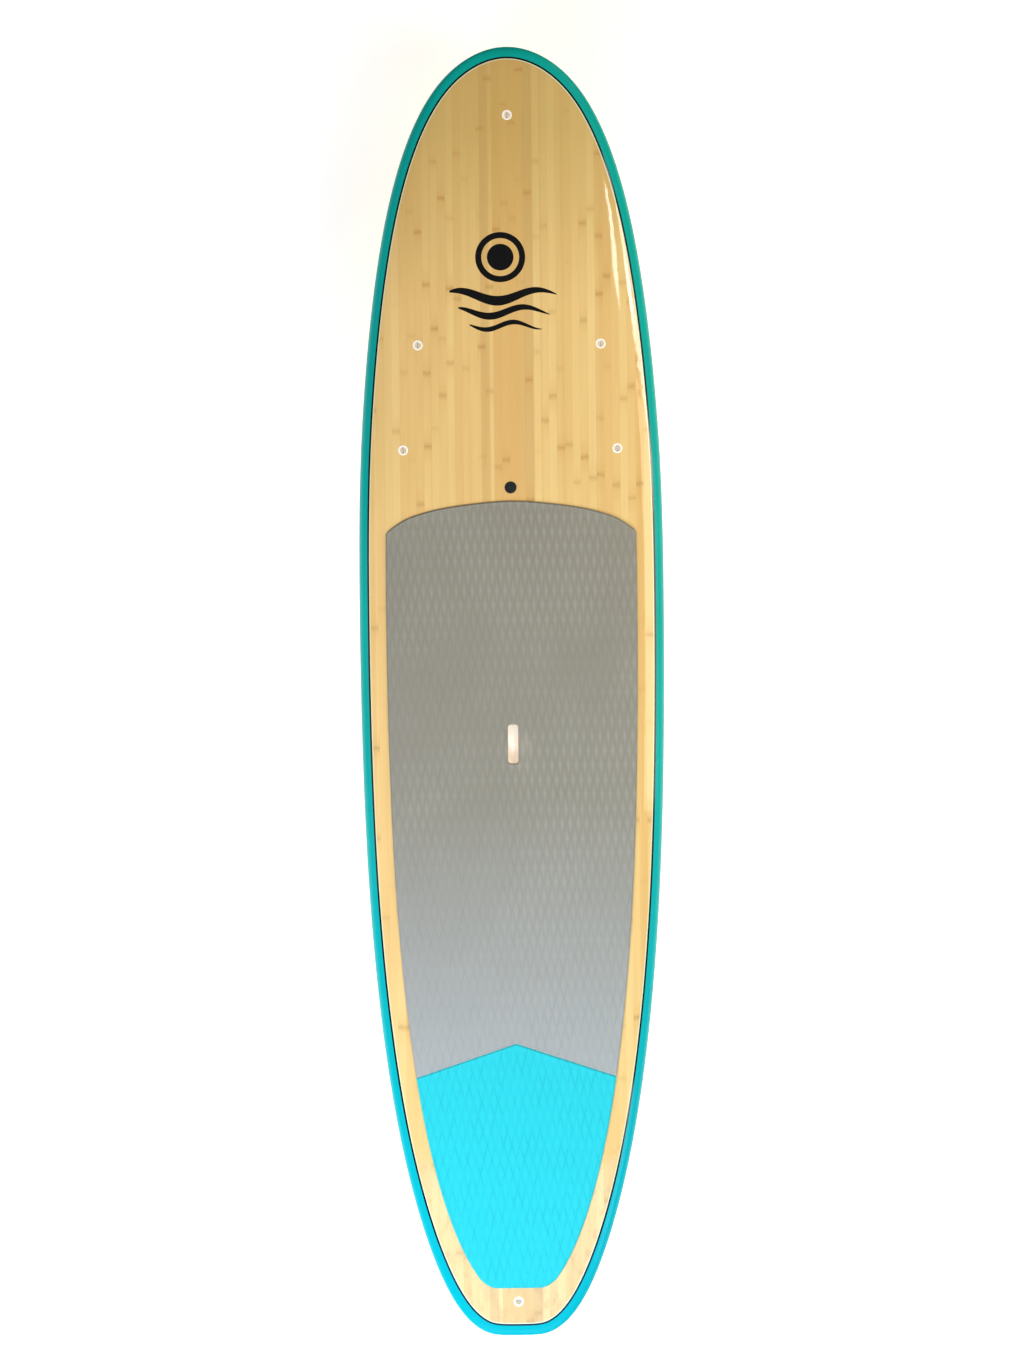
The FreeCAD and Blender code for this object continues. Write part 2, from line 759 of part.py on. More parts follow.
def fin_screw(placement):
    body = new_body("fin_screw", local(placement, y=size("fin_screw_along")))
    top = "sizes.fin_ear_bottom - 0.2"
    head = top + " - sizes.fin_screw_head_height"
    end = top + " + sizes.fin_screw_length"
    ridges = ridged_shank("sizes.fin_screw_core_radius", "sizes.fin_screw_thread_radius",
                          "sizes.fin_screw_pitch", top + " + 1.2", 15, "+")
    revolve(body, "fin_screw_turned", [
        ("0", head),
        ("sizes.fin_screw_head_radius - 0.8", head),
        ("sizes.fin_screw_head_radius", head + " + 0.8"),
        ("sizes.fin_screw_head_radius", top),
        ("sizes.fin_screw_core_radius", top),
    ] + ridges + [
        ("sizes.fin_screw_core_radius", end + " - 0.5"),
        ("sizes.fin_screw_core_radius - 0.5", end),
        ("0", end),
    ])
    slot = body.newObject("PartDesign::SubtractiveBox", "fin_screw_slot")
    slot.setExpression("Length", "sizes.fin_screw_slot_width")
    slot.setExpression("Width", "sizes.fin_screw_head_radius * 3")
    slot.setExpression("Height", "sizes.fin_screw_slot_depth + 1")
    slot.AttachmentSupport = [(origin_plane(body, "XY_Plane"), "")]
    slot.MapMode = "FlatFace"
    slot.setExpression("AttachmentOffset.Base.x", "-sizes.fin_screw_slot_width / 2")
    slot.setExpression("AttachmentOffset.Base.y", "-sizes.fin_screw_head_radius * 1.5")
    slot.setExpression("AttachmentOffset.Base.z", head + " - 1")
    body.Tip = slot
    return body


def fin_plate(placement):
    body = new_body("fin_plate", local(placement, y=size("fin_screw_along"), z=size("fin_plate_bottom")))
    extrude(body, "fin_plate_blank", rectangle_points("sizes.fin_plate_width", "sizes.fin_plate_length"),
            "sizes.fin_plate_thickness")
    hole = body.newObject("PartDesign::SubtractiveCylinder", "fin_plate_hole")
    hole.setExpression("Radius", "sizes.fin_screw_hole_radius")
    hole.setExpression("Height", "sizes.fin_plate_thickness")
    body.Tip = hole
    return body


def side_name(side):
    return "starboard" if side > 0 else "port"


def side_placement(side):
    return bottom_placement(side * size("side_box_out"), size("side_box_along"),
                            side * size("side_toe_angle"))


def grub_placements(side):
    """Both grub screws of one side box, local Z pointing in along the screw."""
    spots = []
    for end in (1, -1):
        spots.append(local(side_placement(side), x=side * size("grub_out"),
                           y=end * size("grub_spacing") / 2, axis=V(0, 1, 0),
                           angle=-side * size("grub_angle")))
    return spots


def side_fin_box(side):
    name = "side_fin_box_" + side_name(side)
    placement = side_placement(side)
    shape = rounded_box(size("side_box_width"), size("side_box_length"), size("side_box_corner"),
                        0, size("side_box_depth"))
    width, length = size("side_slot_width"), size("side_slot_length")
    slot = Part.makeBox(width, length, size("side_slot_depth") + 1, V(-width / 2, -length / 2, -1))
    shape = placed(shape.cut(slot), placement)
    for spot in grub_placements(side):
        hole = Part.makeCylinder(size("grub_radius"), size("grub_hole_length") + 4, V(0, 0, -4))
        start = 0 if side > 0 else -size("side_box_width") / 2
        reach = Part.makeBox(size("side_box_width") / 2, size("side_box_length"), 40,
                             V(start, -size("side_box_length") / 2, -10))
        shape = shape.cut(placed(hole, spot).common(placed(reach, placement)))
    shape.Placement = FreeCAD.Placement()
    return new_feature(name, shape)


def side_fin(side):
    width, length, depth = size("side_tab_width"), size("side_tab_length"), size("side_tab_depth")
    gap = size("fin_base_gap")
    shape = blade(SIDE_OUTLINE, length * 1.28, size("side_fin_depth"), width * 1.1, gap,
                  side * size("side_cant_angle"))
    tab = Part.makeBox(width, length, depth + gap + 0.5, V(-width / 2, -length / 2, -gap - 0.5))
    shape = shape.fuse(tab).removeSplitter()
    return new_feature("side_fin_" + side_name(side), shape, side_placement(side))


def grub_screw():
    length, across = size("grub_length"), size("grub_socket_size")
    screw = Part.makeCylinder(size("grub_radius"), length, V(0, 0, size("grub_recess")))
    corners = [V(across / math.sqrt(3) * math.cos(math.radians(60 * k)),
                 across / math.sqrt(3) * math.sin(math.radians(60 * k)), size("grub_recess"))
               for k in range(7)]
    socket = Part.Face(Part.makePolygon(corners)).extrude(V(0, 0, size("grub_socket_depth")))
    ends = [edge for edge in screw.Edges if edge.Curve.TypeId == "Part::GeomCircle"]
    return screw.makeChamfer(0.3, ends).cut(socket)


def side_fin_screws():
    solids = [placed(grub_screw(), spot) for side in (1, -1) for spot in grub_placements(side)]
    return new_feature("side_fin_screws", Part.makeCompound(solids))


# ---------------------------------------------------------------- hull pieces

def cut_all(shape, tools):
    for tool in tools:
        shape = shape.cut(tool)
    return shape


def parted(shape):
    """Upper and lower solid of a skin cut into two."""
    solids = sorted(shape.Solids, key=lambda solid: solid.CenterOfMass.z)
    return solids[-1], solids[0]


def block(width, length, low, high, placement, inside):
    box = Part.makeBox(width, length, high - low, V(-width / 2, -length / 2, low))
    return placed(box, placement).common(inside)


def build():
    outside = hull_outside()
    inside = hull_solid(size("skin_thickness"))

    # fittings in the deck
    handle = deck_placement(0, size("handle_along"))
    vent = deck_placement(0, size("vent_along"))
    nose_plug = deck_placement(0, size("nose_plug_along"))
    leash_plug = deck_placement(0, size("leash_plug_along"), 90)
    tie_downs = [deck_placement(side * size(row + "_plug_out"), size(row + "_plug_along"))
                 for row in ("front", "rear") for side in (-1, 1)]
    handle_cup(handle)
    vent_housing(vent)
    vent_screw(vent)
    vent_seal(vent)
    vent_membrane(vent)
    plugs = [("nose_plug", nose_plug, ""), ("leash_plug", leash_plug, "")]
    plugs += [("tie_down", spot, "_%d" % number) for number, spot in enumerate(tie_downs, 1)]
    for name, spot, number in plugs:
        plug_cup(name + "_cup" + number, spot)
        plug_pin(name + "_pin" + number, spot)

    # fins
    fin_spot = bottom_placement(0, size("fin_box_along"))
    fin_box(fin_spot)
    centre_fin(fin_spot)
    fin_pin(fin_spot)
    fin_screw(fin_spot)
    fin_plate(fin_spot)
    for side in (-1, 1):
        side_fin_box(side)
        side_fin(side)
    side_fin_screws()

    # room for the fittings
    deck_seats = [flanged_seat("plug", spot) for _, spot, _ in plugs]
    deck_seats += [flanged_seat("vent", vent), handle_seat(handle)]
    margin = size("fin_block_margin")
    fin_seat = placed(rounded_box(size("fin_box_width"), size("fin_box_length"), size("fin_box_corner"),
                                  -8, size("fin_box_depth")), fin_spot)
    side_seats = [placed(rounded_box(size("side_box_width"), size("side_box_length"),
                                     size("side_box_corner"), -8, size("side_box_depth")),
                         side_placement(side)) for side in (-1, 1)]
    bottom_seats = [fin_seat] + side_seats

    # stiff foam blocks that carry the fittings
    handle_block = block(size("handle_block_width"), size("handle_block_length"),
                         -size("handle_block_depth"), 20, handle, inside)
    fin_block = block(size("fin_box_width") + 2 * margin, size("fin_box_length") + 2 * margin,
                      -20, size("fin_block_depth"), fin_spot, inside)
    margin = size("side_block_margin")
    side_blocks = [block(size("side_box_width") + 2 * margin, size("side_box_length") + 2 * margin,
                         -20, size("side_block_depth"), side_placement(side), inside) for side in (-1, 1)]
    leash_block = placed(Part.makeCylinder(size("leash_block_radius"), size("leash_block_depth") + 20,
                                           V(0, 0, -size("leash_block_depth"))), leash_plug).common(inside)
    blocks = [handle_block, fin_block, leash_block] + side_blocks
    new_feature("handle_block", cut_all(handle_block, deck_seats[-1:]))
    new_feature("fin_block", cut_all(fin_block, [fin_seat]))
    new_feature("leash_block", cut_all(leash_block, deck_seats[1:2]))
    for side, shape, seat in zip((-1, 1), side_blocks, side_seats):
        new_feature("side_fin_block_" + side_name(side), cut_all(shape, [seat]))

    # core and stringer
    half = size("stringer_width") / 2
    seats = deck_seats + blocks
    for side in (-1, 1):
        room = Part.makeBox(1000, 4000, 600, V(half if side > 0 else -half - 1000, -2000, -100))
        new_feature("foam_core_" + side_name(side), cut_all(inside.common(room), seats))
    web = Part.makeBox(2 * half, 4000, 600, V(-half, -2000, -100))
    new_feature("stringer", cut_all(inside.common(web), seats))

    # skins
    width, inset = size("pinline_width"), size("pinline_inset")
    extra, power = size("pinline_tip_extra"), size("pinline_tip_power")
    outer_line = inset_prism(inset - width / 2, extra, power)
    inner_line = inset_prism(inset + width / 2, extra, power)
    new_feature("rail_band", outside.cut(outer_line).cut(inside))
    upper, lower = parted(outside.common(outer_line).cut(inside))
    new_feature("deck_pinline", upper.cut(inner_line))
    new_feature("bottom_pinline", lower.cut(inner_line))
    upper, lower = parted(outside.common(inner_line).cut(inside))
    new_feature("deck_veneer", cut_all(upper, deck_seats))
    new_feature("bottom_veneer", cut_all(lower, bottom_seats))

    # pads
    build_pads(outside, handle)


def pad_front_edge():
    count = len(PAD_FRONT)
    half = [(size("pad_front_%d_out" % n), size("pad_front_%d_along" % n)) for n in range(count)]
    points = [V(-out, along, -60) for out, along in half[:0:-1]]
    points += [V(out, along, -60) for out, along in half]
    line = Part.BSplineCurve()
    line.interpolate(points)
    return line.toShape()


def build_pads(outside, handle):
    apex, slope = size("pad_joint_along"), size("pad_joint_slope")
    reach = size("pad_front_%d_out" % (len(PAD_FRONT) - 1))
    gap = size("pad_joint_gap") / 2
    tail = size("pad_tail_along")
    within = inset_prism(size("pad_inset"), size("pad_tip_extra"), size("pad_tip_power"))
    layer = hull_solid(-size("pad_thickness")).common(within).cut(outside)
    layer = parted(layer)[0]

    front = pad_front_edge()
    low = apex - slope * reach + gap
    corners = [front.Vertexes[-1].Point, V(reach, low, -60), V(0, apex + gap, -60), V(-reach, low, -60),
               front.Vertexes[0].Point]
    outline = Part.Wire([front] + Part.makePolygon(corners).Edges)
    main = layer.common(Part.Face(outline).extrude(V(0, 0, 400)))
    clear = 2 * size("pad_handle_clearance")
    opening = rounded_box(size("handle_slot_width") + clear, size("handle_slot_length") + clear,
                          size("handle_slot_corner"), -10, 20)
    spare = size("pad_flange_clearance")
    flange = rounded_box(size("handle_flange_width") + 2 * spare, size("handle_flange_length") + 2 * spare,
                         size("handle_cup_corner") + spare, -size("handle_flange_thickness"), spare)
    new_feature("deck_pad", cut_all(main, [placed(opening, handle), placed(flange, handle)]))

    low = apex - slope * reach - gap
    pad = layer.common(polygon_prism([
        (0, apex - gap), (reach, low), (reach, tail), (-reach, tail), (-reach, low)]))
    corners = [edge for edge in pad.Edges
               if edge.BoundBox.YMax < tail + 1 and edge.BoundBox.XLength < 2 and edge.BoundBox.ZLength > 2]
    new_feature("tail_pad", pad.makeFillet(size("pad_tail_corner"), corners))


def sub_parts():
    kinds = ("PartDesign::Body", "Part::Feature", "Part::Cylinder", "Part::Torus")
    found = [item for item in doc.Objects if item.TypeId in kinds]
    return [item for item in found
            if not any(parent.TypeId == "PartDesign::Body" for parent in item.InList)]


def export():
    doc.recompute()
    os.makedirs("parts", exist_ok=True)
    for item in doc.Objects:
        if {"Invalid", "Error"} & set(item.State):
            raise RuntimeError("%s is %s" % (item.Name, item.State))
    for item in sub_parts():
        if item.Shape.isNull() or not item.Shape.isValid():
            raise RuntimeError("bad shape: " + item.Label)
        item.Shape.exportStep("parts/%s.step" % item.Label)
        shape = item.Shape
        print("%-26s %2d solids %12.1f mm3" % (item.Label, len(shape.Solids), shape.Volume))


build()
export()
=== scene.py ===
import json
import math
import bpy
import numpy as np
from mathutils import Matrix, Vector
from mathutils.geometry import delaunay_2d_cdt
from mathutils.kdtree import KDTree


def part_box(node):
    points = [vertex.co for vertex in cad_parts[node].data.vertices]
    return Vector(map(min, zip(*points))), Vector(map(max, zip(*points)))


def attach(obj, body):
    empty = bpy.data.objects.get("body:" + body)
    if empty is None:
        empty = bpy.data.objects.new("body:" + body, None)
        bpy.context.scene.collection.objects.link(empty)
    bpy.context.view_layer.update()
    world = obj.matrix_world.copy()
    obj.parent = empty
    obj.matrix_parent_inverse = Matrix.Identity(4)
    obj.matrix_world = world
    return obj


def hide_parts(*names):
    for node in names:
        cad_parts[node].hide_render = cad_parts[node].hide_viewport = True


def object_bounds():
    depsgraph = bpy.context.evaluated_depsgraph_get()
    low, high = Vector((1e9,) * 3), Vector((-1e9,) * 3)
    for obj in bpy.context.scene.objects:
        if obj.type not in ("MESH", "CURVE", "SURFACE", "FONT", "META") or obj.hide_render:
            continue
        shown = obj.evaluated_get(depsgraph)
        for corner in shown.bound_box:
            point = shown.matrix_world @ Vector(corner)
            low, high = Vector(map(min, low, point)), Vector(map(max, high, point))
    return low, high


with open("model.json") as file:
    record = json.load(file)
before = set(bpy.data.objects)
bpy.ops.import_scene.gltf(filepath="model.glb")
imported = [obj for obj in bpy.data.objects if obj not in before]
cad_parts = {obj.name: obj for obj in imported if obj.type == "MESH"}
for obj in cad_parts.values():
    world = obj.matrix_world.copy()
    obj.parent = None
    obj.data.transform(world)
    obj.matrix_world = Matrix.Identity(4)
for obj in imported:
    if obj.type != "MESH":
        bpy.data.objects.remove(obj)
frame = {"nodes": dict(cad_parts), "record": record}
cad_low, cad_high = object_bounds()

# Lengths of the geometry are millimetres and angles degrees; new_piece turns points to metres.
MM = 0.001
# The hull's poles, those of the CAD model: place along the board, half width, rise of the bottom, and
# thickness.  A rise of None lies on the straight tail rocker.
STATIONS = (
    (1600, 0, 149, 0), (1600, 56, 134, 30), (1540, 188, 112, 50), (1215, 315, 38, 96),
    (695, 373, -1.5, 115.5), (290, 382, -1.5, 115.5), (-495, 373, -1.5, 115.5),
    (-1119, 304, None, 90), (-1500, 187, None, 55), (-1598, 92, None, 36),
    (-1600, 51, None, 30), (-1600, 0, 52, 0),
)
# The master half section's poles, from the bottom's middle to the deck's: share of the half width and
# share of the thickness.
SECTION = (
    (0, 0), (0.40, 0), (0.76, 0), (0.94, 0), (1, 0.12), (1, 0.38),
    (1, 0.62), (0.975, 0.84), (0.84, 0.95), (0.50, 1), (0, 1),
)
TAIL_ROCKER = math.tan(math.radians(2))
SKIN = 3
PINLINE_INSET, PINLINE_TIP_EXTRA, PINLINE_WIDTH = 23, 4.5, 4.6
PINLINE_TIP_POWER = 4
# Width of the painted highlight line along the wood's edge inside the pinline.
EDGE_HIGHLIGHT_WIDTH = 2.2
PAD_INSET, PAD_TIP_EXTRA, PAD_TIP_POWER = 67, 38, 12
PAD_THICKNESS, PAD_BEVEL, PAD_EDGE_SHARE = 5, 3.5, 0.35
PAD_TAIL, PAD_TAIL_CORNER = -1480, 18
PAD_FRONT = ((-90, 470), (0, 476), (90, 470), (180, 457), (240, 441), (270, 428), (300, 408), (330, 380),
             (360, 345))
JOINT_ALONG, JOINT_SLOPE, JOINT_GAP, JOINT_REACH = -872, 0.335, 0.4, 242
HANDLE_OPENING_WIDE, HANDLE_OPENING_LONG, HANDLE_OPENING_CORNER = 25.4, 95.4, 7
FIN_BOX_LONG, SIDE_BOX_WIDE, SIDE_BOX_LONG, BOX_CORNER = 272, 34, 124, 8
SIDE_TOE = 3
LOOP_STEP = 8
VENEER_GRID = 14
LENS_WIDE, LENS_LONG, LENS_DEEP = 20.3, 72.5, 0.8
LENS_LEAN = math.tan(math.radians(1.4))
PRINT_PROUD, PRINT_SUNK = 0.12, 0.4
STRIP = 19.5 * MM
BODY = "board"


# ---------------------------------------------------------------- hull geometry

def spline(poles, where):
    """Points of a clamped uniform cubic spline; where runs from 0 to the number of spans."""
    poles = np.asarray(poles, float)
    spans = len(poles) - 3
    knots = np.concatenate([np.zeros(3), np.arange(spans + 1), np.full(3, spans)])
    span = np.clip(np.floor(where).astype(int), 0, spans - 1) + 3
    points = [poles[span - 3 + k] for k in range(4)]
    for level in range(1, 4):
        for k in range(3, level - 1, -1):
            low, high = knots[span - 3 + k], knots[span + 1 + k - level]
            share = (where - low) / (high - low)
            points[k] = (1 - share) * points[k - 1] + share * points[k]
    return points[3]


class Hull:
    """The hull surface, moved inwards by inset, as heights over plan positions."""

    def __init__(self, inset=0):
        rows = [list(row) for row in STATIONS]
        start = STATIONS[6]
        for row in rows:
            if row[2] is None:
                row[2] = start[2] + TAIL_ROCKER * (start[0] - row[0])
            if abs(row[0]) == STATIONS[0][0]:
                row[0] -= math.copysign(inset, row[0])
            if row[1]:
                row[1:] = row[1] - inset, row[2] + inset, row[3] - 2 * inset
        where = np.linspace(0, len(rows) - 3, 18001)
        self.along, self.half, self.rise, self.deep = [spline(column, where) for column in zip(*rows)]
        around = np.linspace(0, 4, 8001)
        self.low_out, self.low_up = [spline(column, around) for column in zip(*SECTION)]
        self.high_out, self.high_up = [spline(column, around + 4)[::-1] for column in zip(*SECTION)]

    def height(self, x, y, top):
        half, rise, deep = [np.interp(-y, -self.along, table) for table in (self.half, self.rise, self.deep)]
        out = np.clip(np.abs(x) / np.maximum(half, 1e-6), 0, 1)
        if top:
            return rise + deep * np.interp(out, self.high_out, self.high_up)
        return np.maximum(rise + deep * np.interp(out, self.low_out, self.low_up), 0)

    def loop(self, step):
        """Evenly spaced outline points from the nose round by starboard, and their inward normals."""
        slope_x, slope_y = np.gradient(self.half), np.gradient(self.along)
        length = np.concatenate([[0], np.cumsum(np.hypot(np.diff(self.half), np.diff(self.along)))])
        even = np.linspace(0, length[-1], int(length[-1] / step) + 1)
        x, y = np.interp(even, length, self.half), np.interp(even, length, self.along)
        normal_x, normal_y = np.interp(even, length, slope_y), np.interp(even, length, -slope_x)
        normal_x[0], normal_y[0], normal_x[-1], normal_y[-1] = 0, -1, 0, 1
        size = np.hypot(normal_x, normal_y)
        normal_x, normal_y = normal_x / size, normal_y / size
        points = np.column_stack([x, y])
        normals = np.column_stack([normal_x, normal_y])
        mirror = np.array([-1, 1])
        return (np.vstack([points, points[-2:0:-1] * mirror]),
                np.vstack([normals, normals[-2:0:-1] * mirror]))


HULL = Hull()
CORE = Hull(SKIN)
EDGE, INWARD = HULL.loop(LOOP_STEP)
TIP_SHARE = EDGE[:, 1] / STATIONS[0][0]
TIP_EXTRA = PINLINE_TIP_EXTRA * TIP_SHARE ** PINLINE_TIP_POWER
LINE_OUT = PINLINE_INSET - PINLINE_WIDTH / 2 + TIP_EXTRA
LINE_IN = PINLINE_INSET + PINLINE_WIDTH / 2 + TIP_EXTRA
PAD_OUT = PAD_INSET + PAD_TIP_EXTRA * TIP_SHARE ** PAD_TIP_POWER


def inside_edge(distance):
    """The outline moved inwards, by one distance or one for each of its points."""
    return EDGE + INWARD * np.reshape(distance, (-1, 1))


# ---------------------------------------------------------------- mesh helpers

def new_piece(name, points, faces, materials, kinds=None, sharp=35):
    """A closed mesh from millimetre points; kinds gives each face's material number."""
    mesh = bpy.data.meshes.new(name)
    mesh.from_pydata((np.asarray(points) * MM).tolist(), [], [list(face) for face in faces])
    for material in materials:
        mesh.materials.append(material)
    if kinds is not None:
        mesh.polygons.foreach_set("material_index", kinds)
    mesh.polygons.foreach_set("use_smooth", [True] * len(mesh.polygons))
    mesh.set_sharp_from_angle(angle=math.radians(sharp))
    mesh.update()
    piece = bpy.data.objects.new(name, mesh)
    bpy.context.scene.collection.objects.link(piece)
    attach(piece, BODY)
    return piece


def tube_faces(rings, size):
    """Quads of a closed band of rings, each a closed loop of size points."""
    faces = []
    for ring in range(rings):
        after = (ring + 1) % rings
        for k in range(size):
            following = (k + 1) % size
            faces.append((ring * size + k, ring * size + following,
                          after * size + following, after * size + k))
    return faces


def inside_loop(points, loop):
    """Which points lie inside a closed polygon."""
    inside = np.zeros(len(points), bool)
    start, end = loop, np.roll(loop, -1, axis=0)
    for block in range(0, len(points), 4000):
        x, y = points[block:block + 4000, 0:1], points[block:block + 4000, 1:2]
        spans = (start[:, 1] > y) != (end[:, 1] > y)
        rise = np.where(end[:, 1] == start[:, 1], 1, end[:, 1] - start[:, 1])
        cross = start[:, 0] + (y - start[:, 1]) / rise * (end[:, 0] - start[:, 0])
        inside[block:block + 4000] = np.sum(spans & (x < cross), axis=1) % 2 == 1
    return inside


def inside_region(points, outer, holes):
    """Which points lie inside a closed polygon and in none of its holes."""
    keep = inside_loop(points, outer)
    for hole in holes:
        keep &= ~inside_loop(points, hole)
    return keep


def near_tree(points):
    """A search tree over plan points."""
    tree = KDTree(len(points))
    for number, point in enumerate(points):
        tree.insert((point[0], point[1], 0), number)
    tree.balance()
    return tree


def nearest(tree, points):
    """The distance from each plan point to the nearest point of a search tree."""
    return np.array([tree.find((x, y, 0))[2] for x, y in points])


def loop_edges(loops):
    """Pairs of neighbouring points in loops that are numbered one after another."""
    edges, start = [], 0
    for loop in loops:
        edges += [(start + k, start + (k + 1) % len(loop)) for k in range(len(loop))]
        start += len(loop)
    return edges


def fill(outer, holes, grid, clear, rings=()):
    """Triangles over a plan outline with holes; rings are further lines that edges must follow.

    Grid points closer than clear to a line are left out.
    """
    loops = [outer, *holes, *rings]
    border = np.vstack(loops)
    grid = grid[inside_region(grid, outer, holes)]
    grid = grid[nearest(near_tree(border), grid) > clear]
    points = np.vstack([border, grid])
    found = delaunay_2d_cdt([Vector(point) for point in points.tolist()], loop_edges(loops), [], 0, 1e-6)
    points = np.array([tuple(point) for point in found[0]])
    faces = np.array([tuple(face) for face in found[2]])
    faces = faces[inside_region(points[faces].mean(axis=1), outer, holes)]
    a, b, c = points[faces[:, 0]], points[faces[:, 1]], points[faces[:, 2]]
    turned = (b[:, 0] - a[:, 0]) * (c[:, 1] - a[:, 1]) - (b[:, 1] - a[:, 1]) * (c[:, 0] - a[:, 0]) < 0
    faces[turned] = faces[turned][:, ::-1]
    used = np.unique(faces)
    renumber = np.full(len(points), -1)
    renumber[used] = np.arange(len(used))
    return points[used], renumber[faces]


def shrunk(loop, distance):
    """A closed loop moved inwards, keeping its corners."""
    ahead = np.roll(loop, -1, axis=0) - loop
    ahead /= np.hypot(ahead[:, 0], ahead[:, 1])[:, None]
    area = np.sum(loop[:, 0] * np.roll(loop[:, 1], -1) - np.roll(loop[:, 0], -1) * loop[:, 1])
    turn = 1 if area > 0 else -1
    normal = np.column_stack([-ahead[:, 1], ahead[:, 0]]) * turn
    before = np.roll(normal, 1, axis=0)
    share = 1 + np.sum(before * normal, axis=1)
    return loop + (before + normal) / share[:, None] * distance


def slab(name, plan, faces, high, low, materials, kinds=None, sharp=35):
    """A closed plate between two height arrays over the same plan triangles."""
    count = len(plan)
    points = np.vstack([np.column_stack([plan, high]), np.column_stack([plan, low])])
    top = [tuple(face) for face in faces.tolist()]
    under = [(c + count, b + count, a + count) for a, b, c in top]
    directed = {(a, b) for face in top for a, b in zip(face, face[1:] + face[:1])}
    walls = [(a, a + count, b + count, b) for a, b in directed if (b, a) not in directed]
    walls.sort()
    kinds = [0] * len(top) if kinds is None else list(kinds)
    return new_piece(name, points, top + under + walls, materials,
                     kinds + [0] * len(under) + [0] * len(walls), sharp)


def circle(x, y, radius, count=40):
    """A closed loop of points round a circle."""
    turn = np.arange(count) * 2 * math.pi / count
    return np.column_stack([x + radius * np.cos(turn), y + radius * np.sin(turn)])


def rounded_rectangle(x, y, width, length, corner, turn=0, step=8):
    """A rectangle with rounded corners, its straight sides divided."""
    points = []
    for number in range(4):
        sign_x, sign_y = ((1, 1), (-1, 1), (-1, -1), (1, -1))[number]
        middle = (sign_x * (width / 2 - corner), sign_y * (length / 2 - corner))
        for k in range(7):
            angle = math.radians(90 * number + 15 * k)
            points.append((middle[0] + corner * math.cos(angle), middle[1] + corner * math.sin(angle)))
    points = divided(points, step)
    spin = math.radians(turn)
    matrix = np.array([[math.cos(spin), math.sin(spin)], [-math.sin(spin), math.cos(spin)]])
    return points @ matrix + np.array([x, y])


def divided(points, step):
    """A closed polygon with its long sides divided."""
    points = np.asarray(points, float)
    out = []
    for start, end in zip(points, np.roll(points, -1, axis=0)):
        parts = max(1, int(round(np.hypot(*(end - start)) / step)))
        out += [start + (end - start) * k / parts for k in range(parts)]
    return np.array(out)


def grid_points(low, high, step_x, step_y):
    """Rows of points over a rectangle, every second row shifted by half a step."""
    x = np.arange(low[0], high[0], step_x)
    y = np.arange(low[1], high[1], step_y)
    across, along = np.meshgrid(x, y)
    across = across + np.where(np.arange(len(y)) % 2, step_x / 2, 0)[:, None]
    return np.column_stack([across.ravel(), along.ravel()])


def node_middle(node):
    """The middle of a CAD node's box."""
    low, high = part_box(node)
    return [(low[k] + high[k]) / 2 / MM for k in range(3)]


# ---------------------------------------------------------------- materials

class Paint:
    """A node material with one Principled shader and short ways to add nodes to it."""

    def __init__(self, name, **values):
        self.material = bpy.data.materials.new(name)
        self.material.use_nodes = True
        self.tree = self.material.node_tree
        self.shader = self.tree.nodes["Principled BSDF"]
        for socket, value in values.items():
            self.set(socket.replace("_", " "), value)
        self.place = self.add("ShaderNodeTexCoord").outputs["Object"]

    def set(self, socket, value):
        self.plug(value, self.shader.inputs[socket])

    def plug(self, value, socket):
        if hasattr(value, "links"):
            self.tree.links.new(value, socket)
        elif isinstance(value, (tuple, list)) and len(value) == 3 and socket.type == "RGBA":
            socket.default_value = (*value, 1)
        else:
            socket.default_value = value

    def add(self, kind, **inputs):
        node = self.tree.nodes.new(kind)
        for name, value in inputs.items():
            self.plug(value, node.inputs[name.replace("_", " ")])
        return node

    def math(self, operation, *values):
        node = self.tree.nodes.new("ShaderNodeMath")
        node.operation = operation
        for number, value in enumerate(values):
            self.plug(value, node.inputs[number])
        return node.outputs[0]

    def axes(self):
        split = self.add("ShaderNodeSeparateXYZ", Vector=self.place)
        return split.outputs["X"], split.outputs["Y"], split.outputs["Z"]

    def stretched(self, scale):
        return self.add("ShaderNodeMapping", Vector=self.place, Scale=scale).outputs["Vector"]

    def noise(self, scale, detail=3, rough=0.5, vector=None):
        node = self.add("ShaderNodeTexNoise", Vector=vector or self.place, Scale=scale, Detail=detail,
                        Roughness=rough)
        return node.outputs["Fac"]

    def cells(self, scale):
        node = self.add("ShaderNodeTexVoronoi", Vector=self.place, Scale=scale)
        return node.outputs["Distance"]

    def dice(self, value):
        """A steady random number for each whole value."""
        node = self.tree.nodes.new("ShaderNodeTexWhiteNoise")
        node.noise_dimensions = "1D"
        self.plug(value, node.inputs["W"])
        return node.outputs["Value"]

    def ramp(self, value, low, high, start=0.0, end=1.0):
        node = self.add("ShaderNodeMapRange", Value=value, From_Min=start, From_Max=end,
                        To_Min=low, To_Max=high)
        return node.outputs["Result"]

    def mix(self, share, first, second):
        node = self.tree.nodes.new("ShaderNodeMix")
        node.data_type = "RGBA"
        self.plug(share, node.inputs["Factor"])
        self.plug(first, node.inputs[6])
        self.plug(second, node.inputs[7])
        return node.outputs[2]

    def bump(self, height, distance, strength=1.0):
        node = self.add("ShaderNodeBump", Height=height, Distance=distance, Strength=strength)
        self.set("Normal", node.outputs["Normal"])


def srgb(red, green, blue):
    """Linear colour from the usual 0 to 255 values."""
    values = []
    for value in (red, green, blue):
        value /= 255
        values.append(value / 12.92 if value <= 0.04045 else ((value + 0.055) / 1.055) ** 2.4)
    return tuple(values)


